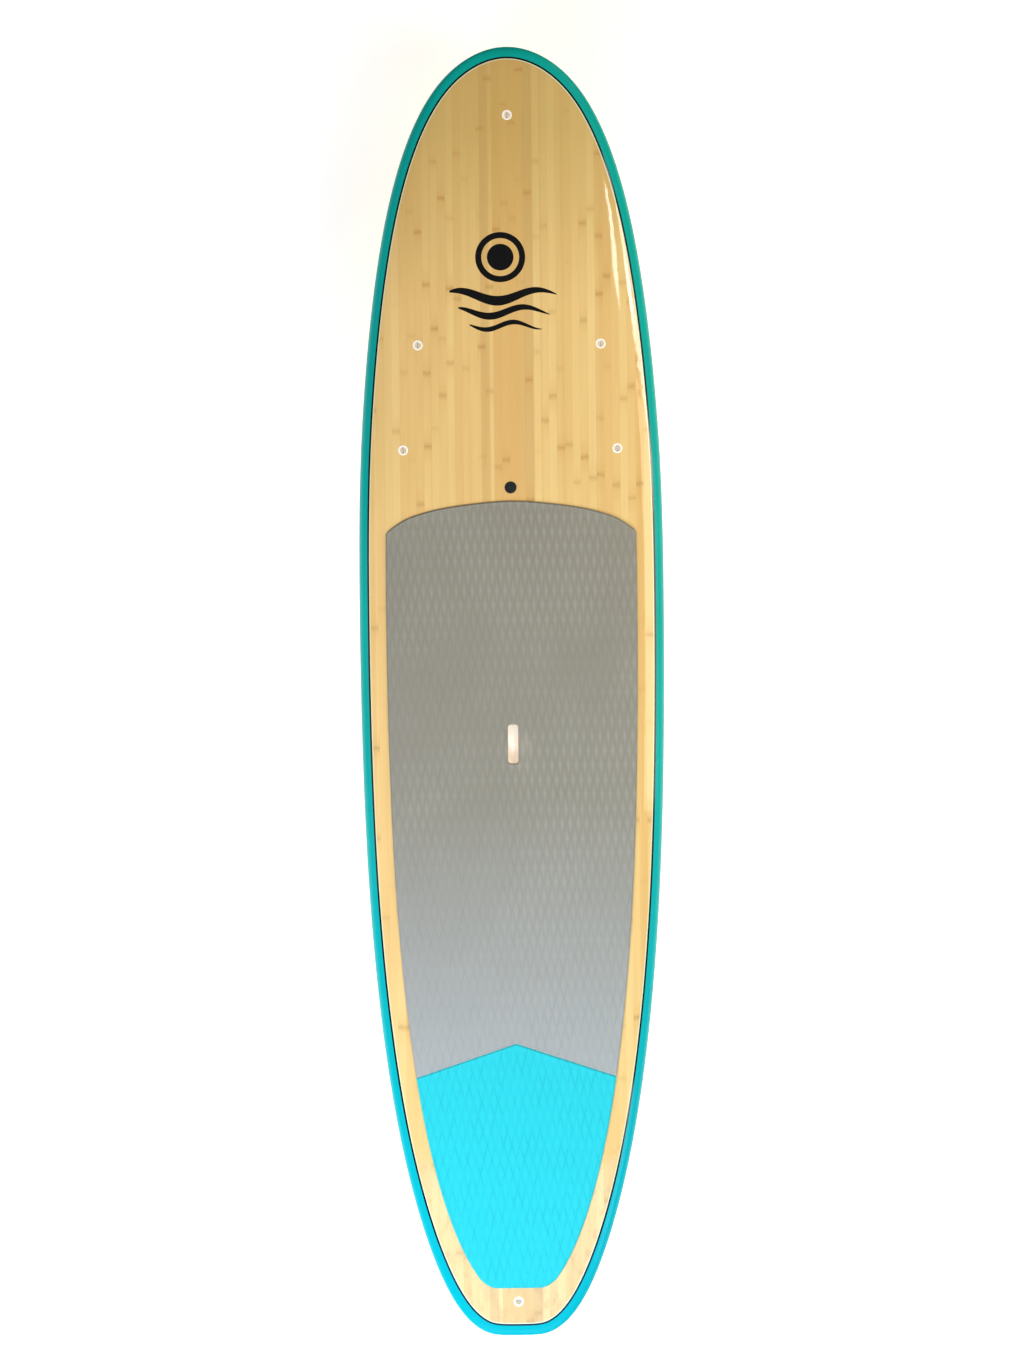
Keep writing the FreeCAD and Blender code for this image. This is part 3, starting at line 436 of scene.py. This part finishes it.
def bamboo_paint():
    """Lengthwise bamboo strips with knuckles and fibres under a gloss coat."""
    paint = Paint("bamboo", Roughness=0.4, Specular_IOR_Level=0.1, Coat_Weight=1.0, Coat_Roughness=0.05)
    x, y, _ = paint.axes()
    across = paint.math("ADD", x, paint.ramp(paint.noise(1.1, 1), -0.0015, 0.0015))
    place = paint.math("DIVIDE", across, STRIP)
    strip = paint.math("FLOOR", place)
    batch = paint.math("FLOOR", paint.math("DIVIDE", paint.math("ADD", across, 0.011), 2.4 * STRIP))
    tone = paint.dice(paint.math("ADD", strip, 40.0))
    tone_wide = paint.dice(paint.math("ADD", batch, 170.0))
    blend = paint.math("ADD", paint.math("MULTIPLY", tone, 0.6), paint.math("MULTIPLY", tone_wide, 0.4))
    wood = paint.mix(blend, srgb(234, 184, 112), srgb(255, 221, 152))
    for middle, half in ((-0.060, 0.011), (0.049, 0.012)):
        band = paint.math("ABSOLUTE", paint.math("SUBTRACT", across, middle))
        wood = paint.mix(paint.ramp(band, 0.42, 0.0, half - 0.002, half + 0.002), wood, srgb(206, 158, 96))
    fibre = paint.noise(1.0, 6, 0.62, paint.stretched((620, 9, 100)))
    wood = paint.mix(paint.ramp(fibre, 0.0, 0.13, 0.42, 0.75), wood, srgb(196, 144, 80))
    patch = paint.noise(1.0, 3, 0.5, paint.stretched((16, 1.6, 4)))
    wood = paint.mix(paint.ramp(patch, 0.0, 0.3, 0.42, 0.7), wood, srgb(224, 174, 106))
    wood = paint.mix(paint.ramp(tail_mottle(paint, y), 0.0, 0.42, 0.50, 0.72), wood, srgb(206, 148, 84))
    # Painted shade: the wood is darker towards the nose.
    wood = paint.mix(paint.ramp(y, 0.0, 0.45, 0.95, 1.4), wood, srgb(184, 150, 74))
    wood = knuckles(paint, wood, y, strip)
    seam = paint.math("ABSOLUTE", paint.math("SUBTRACT", paint.math("FRACT", place), 0.5))
    wood = paint.mix(paint.ramp(seam, 0.0, 0.2, 0.47, 0.5), wood, srgb(184, 134, 74))
    paint.set("Base Color", wood)
    paint.set("Roughness", paint.ramp(fibre, 0.32, 0.46))
    paint.bump(paint.noise(26, 2), 0.0002, 0.08)
    return paint.material


def tail_mottle(paint, y):
    """Blocky patches that only show towards the tail."""
    patch = paint.noise(1.0, 3, 0.6, paint.stretched((46, 24, 20)))
    return paint.math("MULTIPLY", patch, paint.ramp(y, 1.0, 0.72, -1.35, -0.75))


def knuckles(paint, wood, y, strip):
    """Soft darker smudges across single strips, at uneven steps, some of them hardly there."""
    phase = paint.dice(paint.math("ADD", strip, 90.5))
    pitch = paint.ramp(paint.dice(paint.math("ADD", strip, 310.5)), 0.19, 0.33)
    turn = paint.math("ADD", paint.math("DIVIDE", paint.math("ADD", y, 5.0), pitch),
                      paint.math("MULTIPLY", phase, 0.7))
    number = paint.math("FLOOR", turn)
    chance = paint.dice(paint.math("ADD", paint.math("MULTIPLY", strip, 37.3), number))
    push = paint.dice(paint.math("ADD", paint.math("MULTIPLY", strip, 11.9), number))
    centre = paint.ramp(push, 0.2, 0.8)
    away = paint.math("MULTIPLY", paint.math("SUBTRACT", paint.math("FRACT", turn), centre), pitch)
    away = paint.math("ADD", away, paint.ramp(paint.noise(70, 2), -0.005, 0.005))
    near = paint.math("ABSOLUTE", away)
    fade = paint.ramp(chance, 0.0, 1.0, 0.25, 1.0)
    smudge = paint.math("MULTIPLY", paint.ramp(near, 0.44, 0.0, 0.002, 0.011), fade)
    smudge = paint.math("MULTIPLY", smudge, paint.ramp(paint.noise(130, 3), 0.6, 1.0, 0.3, 0.6))
    wood = paint.mix(smudge, wood, srgb(180, 126, 62))
    halo = paint.math("MULTIPLY", paint.ramp(near, 0.34, 0.0, 0.004, 0.05), fade)
    wood = paint.mix(halo, wood, srgb(222, 168, 98))
    line = paint.math("MULTIPLY", paint.ramp(near, 0.16, 0.0, 0.0006, 0.003), fade)
    return paint.mix(line, wood, srgb(150, 100, 50))


def rail_paint():
    """Teal gloss enamel with a little depth and orange peel."""
    paint = Paint("rail_paint", Roughness=0.4, Specular_IOR_Level=0.05, Coat_Weight=0.12, Coat_Roughness=0.12)
    cloud = paint.noise(2.2, 4, 0.6)
    colour = paint.mix(paint.ramp(cloud, 0, 1, 0.3, 0.7), srgb(8, 164, 155), srgb(12, 175, 166))
    # Painted light: the teal turns bluer towards the tail.
    painted_tail_light = paint.ramp(paint.axes()[1], 1.0, 0.0, -1.2, -0.1)
    colour = paint.mix(painted_tail_light, colour, srgb(2, 176, 186))
    fleck = paint.noise(900, 2)
    colour = paint.mix(paint.ramp(fleck, 0, 0.1, 0.5, 0.8), colour, srgb(60, 200, 188))
    paint.set("Base Color", colour)
    paint.set("Roughness", paint.ramp(cloud, 0.35, 0.45))
    paint.bump(paint.noise(24, 2), 0.0002, 0.15)
    return paint.material


def pinline_paint():
    """Black gloss line paint, also used for the print."""
    paint = Paint("pinline_paint", Roughness=0.4, Specular_IOR_Level=0.1, Coat_Weight=0.7,
                  Coat_Roughness=0.06)
    drift = paint.noise(140, 3)
    paint.set("Base Color", paint.mix(drift, srgb(6, 6, 8), srgb(20, 19, 20)))
    paint.set("Roughness", paint.ramp(drift, 0.3, 0.45))
    paint.bump(paint.noise(400, 2), 0.0001, 0.2)
    return paint.material


def lens_metric(paint, wide):
    """How far a point is from the middle of its lens on the pads' lattice: 0 in the middle, 1 at its rim."""
    x, y, _ = paint.axes()
    lean = paint.math("ADD", x, paint.math("MULTIPLY", y, LENS_LEAN))
    across = paint.math("DIVIDE", lean, LENS_WIDE * MM)
    along = paint.math("DIVIDE", y, LENS_LONG * MM)
    found = []
    for shift in (0.0, 0.5):
        parts = []
        for value, weight in ((across, wide), (along, 1.0)):
            away = paint.math("FRACT", paint.math("ADD", value, 100.5 - shift))
            parts.append(paint.math("MULTIPLY", paint.math("ABSOLUTE", paint.math("SUBTRACT", away, 0.5)),
                                    2.0 * weight))
        found.append(paint.math("ADD", *parts))
    return paint.math("MINIMUM", *found)


def foam_paint(name, dark, light, painted_lens_highlight, far, streak):
    """Closed cell EVA: fine cells, with painted light in its colour: a set tone towards the tail, painted
    highlights on the lens tops in patches, and painted shadow streaks between the lenses.
    """
    paint = Paint(name, Roughness=0.8, Sheen_Weight=0.1, Sheen_Roughness=0.6, Specular_IOR_Level=0.3)
    cells = paint.cells(1500)
    drift = paint.noise(6, 4, 0.6)
    grain = paint.noise(600, 3, 0.7)
    shade = paint.math("ADD", paint.ramp(drift, 0, 0.5, 0.3, 0.7), paint.ramp(grain, 0, 0.5, 0.3, 0.7))
    colour = paint.mix(shade, dark, light)
    # Painted light: the colour turns to the far tone towards the tail.
    colour = paint.mix(paint.ramp(paint.axes()[1], 1.0, 0.0, -1.0, -0.25), colour, far)
    # Painted highlight: the lens tops paler, in soft patches.
    highlight_patches = paint.ramp(paint.noise(3.1, 3), 0.25, 1.0, 0.38, 0.62)
    lens_highlight_mask = paint.math("MULTIPLY", paint.ramp(lens_metric(paint, 1.25), 0.34, 0.0, 0.1, 0.85), highlight_patches)
    colour = paint.mix(lens_highlight_mask, colour, painted_lens_highlight)
    # Painted shadow: darker streaks between the lenses, in patches.
    patchy = paint.ramp(paint.noise(1.0, 2, 0.5, paint.stretched((70, 22, 30))), 0.1, 1.0, 0.42, 0.62)
    painted_groove_shadow = paint.math("MULTIPLY", paint.ramp(lens_metric(paint, 1.0), 0.0, streak, 0.8, 1.0), patchy)
    colour = paint.mix(painted_groove_shadow, colour, tuple(0.66 * value for value in dark))
    paint.set("Base Color", paint.mix(paint.ramp(cells, 0.12, 0.0, 0.0, 0.45), colour, dark))
    paint.set("Roughness", paint.ramp(grain, 0.7, 0.9))
    height = paint.math("ADD", cells, paint.math("MULTIPLY", grain, 0.6))
    paint.bump(height, 0.0003, 0.5)
    return paint.material


def plastic_paint(name, dark, light, rough, grain_scale=900, coat=0.0, glow=0.0):
    """Moulded plastic with fine spark-eroded grain and slight mottling; glow is painted light, a faint
    self-glow that lifts the shade in deep cups.
    """
    paint = Paint(name, Roughness=rough, Coat_Weight=coat, Coat_Roughness=0.2, Emission_Color=light,
                  Emission_Strength=glow)
    drift = paint.noise(60, 4, 0.6)
    grain = paint.noise(grain_scale, 2, 0.6)
    paint.set("Base Color", paint.mix(drift, dark, light))
    paint.set("Roughness", paint.ramp(grain, rough - 0.08, rough + 0.1))
    paint.bump(grain, 0.0002, 0.35)
    return paint.material


def steel_paint(name, dark, light, rough):
    """Turned or drawn metal, with fine marks along and across."""
    paint = Paint(name, Metallic=0.7, Roughness=rough)
    marks = paint.noise(1.0, 4, 0.7, paint.stretched((2600, 240, 2600)))
    drift = paint.noise(140, 3)
    paint.set("Base Color", paint.mix(drift, dark, light))
    paint.set("Roughness", paint.ramp(marks, rough - 0.08, rough + 0.15))
    paint.bump(marks, 0.00008, 0.5)
    return paint.material


def fin_paint():
    """Glass filled nylon: near black with faint swirls running down the blade."""
    paint = Paint("fin_plastic", Roughness=0.34, Coat_Weight=0.3, Coat_Roughness=0.15)
    swirl = paint.noise(1.0, 5, 0.65, paint.stretched((60, 26, 150)))
    speck = paint.noise(1300, 2)
    colour = paint.mix(swirl, srgb(20, 22, 24), srgb(46, 49, 52))
    paint.set("Base Color", paint.mix(paint.ramp(speck, 0, 0.4, 0.62, 0.8), colour, srgb(92, 96, 98)))
    paint.set("Roughness", paint.ramp(swirl, 0.26, 0.44))
    paint.bump(speck, 0.0001, 0.4)
    return paint.material


def bead_paint(name, dark, light, scale):
    """Expanded foam with its beads showing."""
    paint = Paint(name, Roughness=0.9)
    beads = paint.cells(scale)
    edges = paint.ramp(beads, 0.0, 1.0, 0.2, 0.7)
    paint.set("Base Color", paint.mix(edges, light, dark))
    paint.bump(beads, 0.0006, 0.6)
    return paint.material


def ply_paint():
    """Plywood seen on its grain and its layers."""
    paint = Paint("plywood", Roughness=0.6)
    grain = paint.noise(1.0, 5, 0.6, paint.stretched((200, 8, 90)))
    layers = paint.math("FRACT", paint.math("DIVIDE", paint.axes()[0], 0.0018))
    wood = paint.mix(grain, srgb(168, 128, 82), srgb(214, 178, 130))
    paint.set("Base Color", paint.mix(paint.ramp(layers, 0, 0.3), wood, srgb(120, 84, 50)))
    paint.bump(grain, 0.0003, 0.5)
    return paint.material


BAMBOO = bamboo_paint()
RAIL = rail_paint()
PINLINE = pinline_paint()
# Painted highlight: the pale line along the wood's edge inside the pinline.
EDGE_HIGHLIGHT_PAINT = plastic_paint("painted_edge_highlight", srgb(226, 226, 186), srgb(240, 240, 206), 0.3, 500, coat=0.6)
# The pads' third and fourth colours and the number are painted light: the lens-top highlight, the tone
# towards the tail, and how dark the painted shadow between the lenses is.
GREY_EVA = foam_paint("grey_eva", srgb(142, 135, 122), srgb(150, 144, 131), srgb(182, 174, 164),
                      srgb(168, 168, 166), 0.2)
CYAN_EVA = foam_paint("cyan_eva", srgb(32, 192, 200), srgb(40, 200, 208), srgb(56, 208, 215),
                      srgb(36, 196, 204), 0.5)
# Its glow is painted light: the white plugs and handle cup glow faintly, lifting the shade in their deep
# cups.
WHITE_ABS = plastic_paint("white_abs", srgb(240, 230, 216), srgb(250, 241, 228), 0.36, coat=0.1, glow=0.16)
BLACK_NYLON = plastic_paint("black_nylon", srgb(20, 20, 21), srgb(38, 38, 40), 0.42)
FIN_BOX_PLASTIC = plastic_paint("fin_box_plastic", srgb(206, 206, 202), srgb(226, 226, 222), 0.45)
SEAL_RUBBER = plastic_paint("seal_rubber", srgb(18, 18, 18), srgb(34, 34, 34), 0.55)
MEMBRANE = plastic_paint("membrane", srgb(214, 214, 210), srgb(234, 234, 230), 0.8, 2400)
STAINLESS = steel_paint("stainless", srgb(172, 170, 166), srgb(208, 206, 202), 0.42)
BRASS = steel_paint("brass", srgb(176, 140, 70), srgb(214, 178, 98), 0.35)
FIN_PLASTIC = fin_paint()
EPS = bead_paint("eps_foam", srgb(214, 214, 208), srgb(246, 246, 242), 260)
PVC = bead_paint("pvc_foam", srgb(176, 168, 130), srgb(206, 198, 160), 700)
PLYWOOD = ply_paint()

SLOT_PAINTS = {
    "eps_foam": EPS, "plywood": PLYWOOD, "pvc_foam": PVC, "bamboo": BAMBOO, "pinline": PINLINE,
    "rail_paint": RAIL, "grey_eva": GREY_EVA, "cyan_eva": CYAN_EVA, "white_abs": WHITE_ABS,
    "stainless": STAINLESS, "brass": BRASS, "black_nylon": BLACK_NYLON, "seal_rubber": SEAL_RUBBER,
    "membrane": MEMBRANE, "fin_box_plastic": FIN_BOX_PLASTIC, "fin_plastic": FIN_PLASTIC,
}

for row in frame["record"]["subparts"]:
    node = frame["nodes"][row["node"]]
    for slot in node.material_slots:
        slot.material = SLOT_PAINTS[row["material_slot"]]


# ---------------------------------------------------------------- skins

def rail_band():
    """The painted rail: a closed band round the board, open where the foam core fits."""
    steps = 12
    curve = 1 - np.cos(np.linspace(0, math.pi / 2, steps))
    rows = []
    for hull, start in ((HULL, 0), (CORE, SKIN)):
        for share in curve[::-1]:
            spots = inside_edge(start + (LINE_OUT - start) * share)
            rows.append(np.column_stack([spots, hull.height(spots[:, 0], spots[:, 1], True)]))
        for share in curve[1:]:
            spots = inside_edge(start + (LINE_OUT - start) * share)
            rows.append(np.column_stack([spots, hull.height(spots[:, 0], spots[:, 1], False)]))
    outer, inner = rows[:2 * steps - 1], rows[2 * steps - 1:]
    rings = outer + inner[::-1]
    points = np.stack(rings[::-1], axis=1).reshape(-1, 3)
    piece = new_piece("rail_band_skin", points, tube_faces(len(EDGE), len(rings)), [RAIL], sharp=50)
    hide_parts("rail_band")


def pinline(name, node, top):
    """The dark line between rail and wood, as deep as the skin."""
    rows = []
    for hull, shares in ((HULL, (0, 0.33, 0.67, 1)), (CORE, (1, 0))):
        for share in shares:
            spots = inside_edge(LINE_OUT + (LINE_IN - LINE_OUT) * share)
            rows.append(np.column_stack([spots, hull.height(spots[:, 0], spots[:, 1], top)]))
    if not top:
        rows = rows[::-1]
    points = np.stack(rows, axis=1).reshape(-1, 3)
    piece = new_piece(name, points, tube_faces(len(EDGE), len(rows)), [PINLINE])
    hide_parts(node)


def deck_holes():
    """Openings of the deck's wood round its fittings, as wide as their CAD nodes."""
    holes = []
    for node in ("nose_plug_cup", "leash_plug_cup", "vent_housing") + tuple(
            "tie_down_cup_%d" % number for number in range(1, 5)):
        low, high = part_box(node)
        radius = (high[0] - low[0]) / 2 / MM
        x, y, _ = node_middle(node)
        holes.append(circle(x, y, radius))
    low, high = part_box("handle_cup")
    x, y, _ = node_middle("handle_cup")
    holes.append(rounded_rectangle(x, y, (high[0] - low[0]) / MM, (high[1] - low[1]) / MM, 0.5))
    return holes


def bottom_holes():
    """Openings of the bottom's wood round the three fin boxes."""
    low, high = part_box("fin_box")
    x, y, _ = node_middle("fin_box")
    holes = [rounded_rectangle(x, y, (high[0] - low[0]) / MM, FIN_BOX_LONG, BOX_CORNER)]
    for side, node in ((1, "side_fin_box_starboard"), (-1, "side_fin_box_port")):
        x, y, _ = node_middle(node)
        holes.append(rounded_rectangle(x, y, SIDE_BOX_WIDE, SIDE_BOX_LONG, BOX_CORNER,
                                       side * SIDE_TOE))
    return holes


def veneer(name, node, top, holes):
    """A wood skin inside its pinline, with a painted highlight line along its edge and rings of edges round
    its holes.
    """
    outer = inside_edge(LINE_IN)
    grid = grid_points((-400, -1600), (400, 1600), VENEER_GRID, VENEER_GRID)
    rings = [shrunk(hole, -distance) for hole in holes for distance in (2.5, 7)]
    # The ring inside which the painted highlight line ends.
    highlight_ring = inside_edge(LINE_IN + EDGE_HIGHLIGHT_WIDTH)
    plan, faces = fill(outer, holes, grid, VENEER_GRID * 0.55, rings + [highlight_ring])
    surface = HULL.height(plan[:, 0], plan[:, 1], top)
    inner = CORE.height(plan[:, 0], plan[:, 1], top)
    high, low = (surface, inner) if top else (inner, surface)
    edge = ~inside_loop(plan[faces].mean(axis=1), highlight_ring)
    piece = slab(name, plan, faces, high, low, [BAMBOO, EDGE_HIGHLIGHT_PAINT], [int(kind) for kind in edge])
    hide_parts(node)


rail_band()
pinline("deck_pinline_skin", "deck_pinline", True)
pinline("bottom_pinline_skin", "bottom_pinline", False)
veneer("deck_veneer_skin", "deck_veneer", True, deck_holes())
veneer("bottom_veneer_skin", "bottom_veneer", False, bottom_holes())


# ---------------------------------------------------------------- pads

def through(points, step):
    """A smooth line through points, from the second to the last but one."""
    points = np.asarray(points, float)
    out = []
    for a, b, c, d in zip(points, points[1:], points[2:], points[3:]):
        parts = max(2, int(np.hypot(*(c - b)) / step))
        for k in range(parts):
            s = k / parts
            out.append(0.5 * (2 * b + (c - a) * s + (2 * a - 5 * b + 4 * c - d) * s ** 2
                              + (3 * b - a - 3 * c + d) * s ** 3))
    return np.array(out)


PAD_SIDE = inside_edge(PAD_OUT)[:len(EDGE) // 2 + 1]


def pad_reach(y):
    """Half the width of the pads at a place along the board."""
    return np.interp(-y, -PAD_SIDE[:, 1], PAD_SIDE[:, 0])


def pad_side(high, low):
    """The starboard side line of the pads between two heights on the board."""
    return PAD_SIDE[(PAD_SIDE[:, 1] < high) & (PAD_SIDE[:, 1] > low)]


def mirrored(half):
    """A closed loop from its starboard half, which starts and ends on the centre line."""
    port = half[1:-1][::-1] * np.array([-1, 1])
    return np.vstack([half, port])


def joint_line(end_x, end_y, apex_y):
    """Points of the straight pad joint from its starboard end to the centre line."""
    return [(end_x * (1 - k / 40), end_y + (apex_y - end_y) * k / 40) for k in range(41)]


def main_pad_loop():
    front = through(PAD_FRONT, 7)
    front = front[front[:, 0] < pad_reach(front[:, 1]) - 2]
    corner_y = front[-1, 1] - 9
    corner = (pad_reach(corner_y), corner_y)
    apex_y = JOINT_ALONG + JOINT_GAP / 2
    end_x = pad_reach(JOINT_ALONG - JOINT_SLOPE * JOINT_REACH)
    end_y = apex_y - JOINT_SLOPE * end_x
    line = pad_side(corner_y - 3, end_y + 3)
    joint = joint_line(end_x, end_y, apex_y)
    return mirrored(np.vstack([front, [corner], line, joint]))


def tail_pad_loop():
    apex_y = JOINT_ALONG - JOINT_GAP / 2
    start_x = pad_reach(JOINT_ALONG - JOINT_SLOPE * JOINT_REACH)
    start_y = apex_y - JOINT_SLOPE * start_x
    joint = joint_line(start_x, start_y, apex_y)[::-1]
    line = pad_side(start_y - 3, PAD_TAIL + PAD_TAIL_CORNER)
    end = np.array([pad_reach(PAD_TAIL) - 3, PAD_TAIL])
    bend = end - np.array([PAD_TAIL_CORNER, 0])
    corner = [(1 - s) ** 2 * line[-1] + 2 * s * (1 - s) * end + s ** 2 * bend for s in np.arange(1, 8) / 8]
    tail = [(bend[0] * (1 - k / 10), PAD_TAIL) for k in range(11)]
    return mirrored(np.vstack([joint, line, corner, tail]))


def lens_relief(plan):
    """Depth below the pad's face of a lattice of long raised lenses."""
    across = (plan[:, 0] + LENS_LEAN * plan[:, 1]) / LENS_WIDE
    along = plan[:, 1] / LENS_LONG
    best = np.full(len(plan), 9.0)
    for shift in (0, 0.5):
        dx = np.abs(across - shift - np.round(across - shift)) * 2
        dy = np.abs(along - shift - np.round(along - shift)) * 2
        best = np.minimum(best, dx + dy)
    return LENS_DEEP * 0.5 * (1 - np.cos(math.pi * np.clip(best, 0, 1)))


def pad(name, node, paint, outer, holes):
    """A foam pad with bevelled edges and an embossed face."""
    ring = shrunk(outer, PAD_BEVEL)
    hole_rings = [shrunk(hole, -PAD_BEVEL) for hole in holes]
    grid = grid_points((-330, -1500), (330, 490), LENS_WIDE / 6, LENS_LONG / 12)
    grid = grid[inside_region(grid, ring, hole_rings)]
    plan, faces = fill(outer, holes, grid, 1.6, [ring] + hole_rings)
    deck = HULL.height(plan[:, 0], plan[:, 1], True)
    near = nearest(near_tree(np.vstack([outer, *holes])), plan)
    on_edge = near < 0.05
    relief = lens_relief(plan) * np.clip((near - PAD_BEVEL) / 3, 0, 1)
    high = deck + np.where(on_edge, PAD_THICKNESS * PAD_EDGE_SHARE, PAD_THICKNESS - relief)
    piece = slab(name, plan, faces, high, deck + 0.05, [paint], sharp=28)
    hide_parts(node)


def handle_opening():
    x, y, _ = node_middle("handle_cup")
    return rounded_rectangle(x, y, HANDLE_OPENING_WIDE, HANDLE_OPENING_LONG, HANDLE_OPENING_CORNER, step=5)


pad("deck_pad_foam", "deck_pad", GREY_EVA, main_pad_loop(), [handle_opening()])
pad("tail_pad_foam", "tail_pad", CYAN_EVA, tail_pad_loop(), [])


# ---------------------------------------------------------------- printed graphic

def print_shape(name, outer, holes=()):
    """A flat printed mark that follows the deck."""
    low, high = outer.min(axis=0), outer.max(axis=0)
    plan, faces = fill(outer, list(holes), grid_points(low, high, 9, 9), 4)
    deck = HULL.height(plan[:, 0], plan[:, 1], True)
    piece = slab(name, plan, faces, deck + PRINT_PROUD, deck - PRINT_SUNK, [PINLINE])


def wave_stroke(number, y, reach, height, thick):
    """One tapered wave stroke of the print."""
    share = np.linspace(0, 1, 90)
    x = reach[0] + (reach[1] - reach[0]) * share
    middle = y + height * np.sin(share * 2 * math.pi * 1.35 + number * 0.9)
    width = thick * np.sin(math.pi * share ** 0.8) ** 0.7
    upper = np.column_stack([x, middle + width / 2])
    lower = np.column_stack([x, middle - width / 2])[::-1]
    print_shape("print_wave_%d" % number, np.vstack([upper[1:-1], lower[1:-1]])[::-1])


def deck_print():
    """A ringed sun over three waves."""
    sun = (-20, 1080)
    print_shape("print_sun_ring", circle(*sun, 62, 72), [circle(*sun, 47, 60)])
    print_shape("print_sun", circle(*sun, 33, 48))
    wave_stroke(1, 985, (-150, 122), 13, 24)
    wave_stroke(2, 945, (-128, 104), 11, 18)
    wave_stroke(3, 910, (-100, 84), 9, 13)


deck_print()


# ---------------------------------------------------------------- studio

def floor():
    """A plain pale floor just under the fins, bright enough to read as white paper."""
    paint = Paint("floor", Roughness=0.9, Emission_Color=(1, 1, 1), Emission_Strength=0.5)
    drift = paint.noise(0.7, 2)
    paint.set("Base Color", paint.mix(drift, (0.9, 0.9, 0.9), (0.93, 0.93, 0.93)))
    half = 40
    mesh = bpy.data.meshes.new("floor")
    level = cad_low[2] - 0.002
    mesh.from_pydata([(-half, -half, level), (half, -half, level), (half, half, level), (-half, half, level)],
                     [], [(0, 1, 2, 3)])
    mesh.materials.append(paint.material)
    piece = bpy.data.objects.new("floor", mesh)
    bpy.context.scene.collection.objects.link(piece)


def area_light(name, place, target, size, power, colour, along=None, spread=180, mirrored=True):
    """A soft panel aimed at a point; along is the plan direction of its second side.

    A panel that isn't mirrored lights the board and leaves no highlight on it.
    """
    data = bpy.data.lights.new(name, "AREA")
    data.shape = "RECTANGLE"
    data.size, data.size_y = size
    data.energy = power
    data.color = colour
    data.spread = math.radians(spread)
    light = bpy.data.objects.new(name, data)
    light.location = place
    aim = Vector(target) - Vector(place)
    light.rotation_euler = aim.to_track_quat("-Z", "Y").to_euler()
    if along:
        back = -aim.normalized()
        side = Vector((*along, 0))
        side = (side - side.dot(back) * back).normalized()
        light.rotation_euler = Matrix((side.cross(back), side, back)).transposed().to_euler()
    light.visible_glossy = mirrored
    bpy.context.scene.collection.objects.link(light)


# Name, place, target, size, power, colour; then, where needed, along, spread and mirrored.  The three
# windows draw the streaks along the starboard edge of the glossy deck.
LIGHTS = (
    ("tail_over", (0, -2.3, 2.7), (0, -1.6, 0), (2.4, 1.4), 30, (0.10, 0.42, 1.0)),
    ("tail_low", (0, -4.2, 2.4), (0, -1.2, 0), (3.0, 1.6), 60, (0.55, 0.88, 1.0)),
    ("right_soft", (2.9, 0.2, 2.4), (0.2, 0.2, 0), (1.2, 3.6), 60, (1.0, 0.94, 0.68)),
    ("left_soft", (-2.9, -0.1, 2.6), (-0.2, 0, 0), (1.2, 3.6), 13, (1.0, 0.68, 0.48)),
    ("nose_right", (2.0, 3.0, 2.4), (0, 1.0, 0), (1.4, 1.4), 19, (1.0, 0.97, 0.72)),
    ("left_tail", (-2.6, -2.2, 2.6), (0, -1.4, 0), (1.2, 1.6), 126, (0.94, 0.96, 1.0), None, 180, False),
    ("right_tail", (2.6, -2.2, 2.6), (0, -1.4, 0), (1.2, 1.6), 34, (0.92, 1.0, 1.0)),
    ("window_far", (2.42, 0.83, 3.0), (0.31, 0.9, 0.1), (0.20, 1.75), 12, (1, 1, 0.95), (1.7, -0.33)),
    ("window_turn", (1.66, 1.19, 3.0), (0.29, 1.1, 0.1), (0.26, 0.46), 3.6, (1, 1, 0.95), (0.12, 0.36)),
    ("window_near", (1.0, 1.07, 3.0), (0.26, 1.1, 0.1), (0.10, 0.34), 1.4, (1, 1, 0.95), (0.23, 0.24)),
    ("handle_light", (0, -0.128, 3.0), (0, -0.128, 0.1), (0.02, 0.07), 0.006, (1, 0.90, 0.84), (0, 1), 2),
)


def studio():
    """A dim white surround and the panels."""
    world = bpy.data.worlds.new("studio")
    bpy.context.scene.world = world
    world.use_nodes = True
    world.node_tree.nodes["Background"].inputs["Color"].default_value = (1, 1, 1, 1)
    world.node_tree.nodes["Background"].inputs["Strength"].default_value = 0.1
    for row in LIGHTS:
        area_light(*row)
    settings = bpy.context.scene.view_settings
    settings.view_transform = "Standard"


def camera():
    """Straight above the deck, nose up, with a long lens."""
    data = bpy.data.cameras.new("camera")
    distance = 20.0
    frame_tall = 3.385
    data.sensor_fit = "VERTICAL"
    data.sensor_height = 36
    data.lens = data.sensor_height * distance / frame_tall
    data.clip_end = 200
    view = bpy.data.objects.new("camera", data)
    view.location = (-0.0026, 0.0261, distance + 0.115)
    view.rotation_euler = (0, 0, math.radians(-0.58))
    bpy.context.scene.collection.objects.link(view)
    bpy.context.scene.camera = view


floor()
studio()
camera()
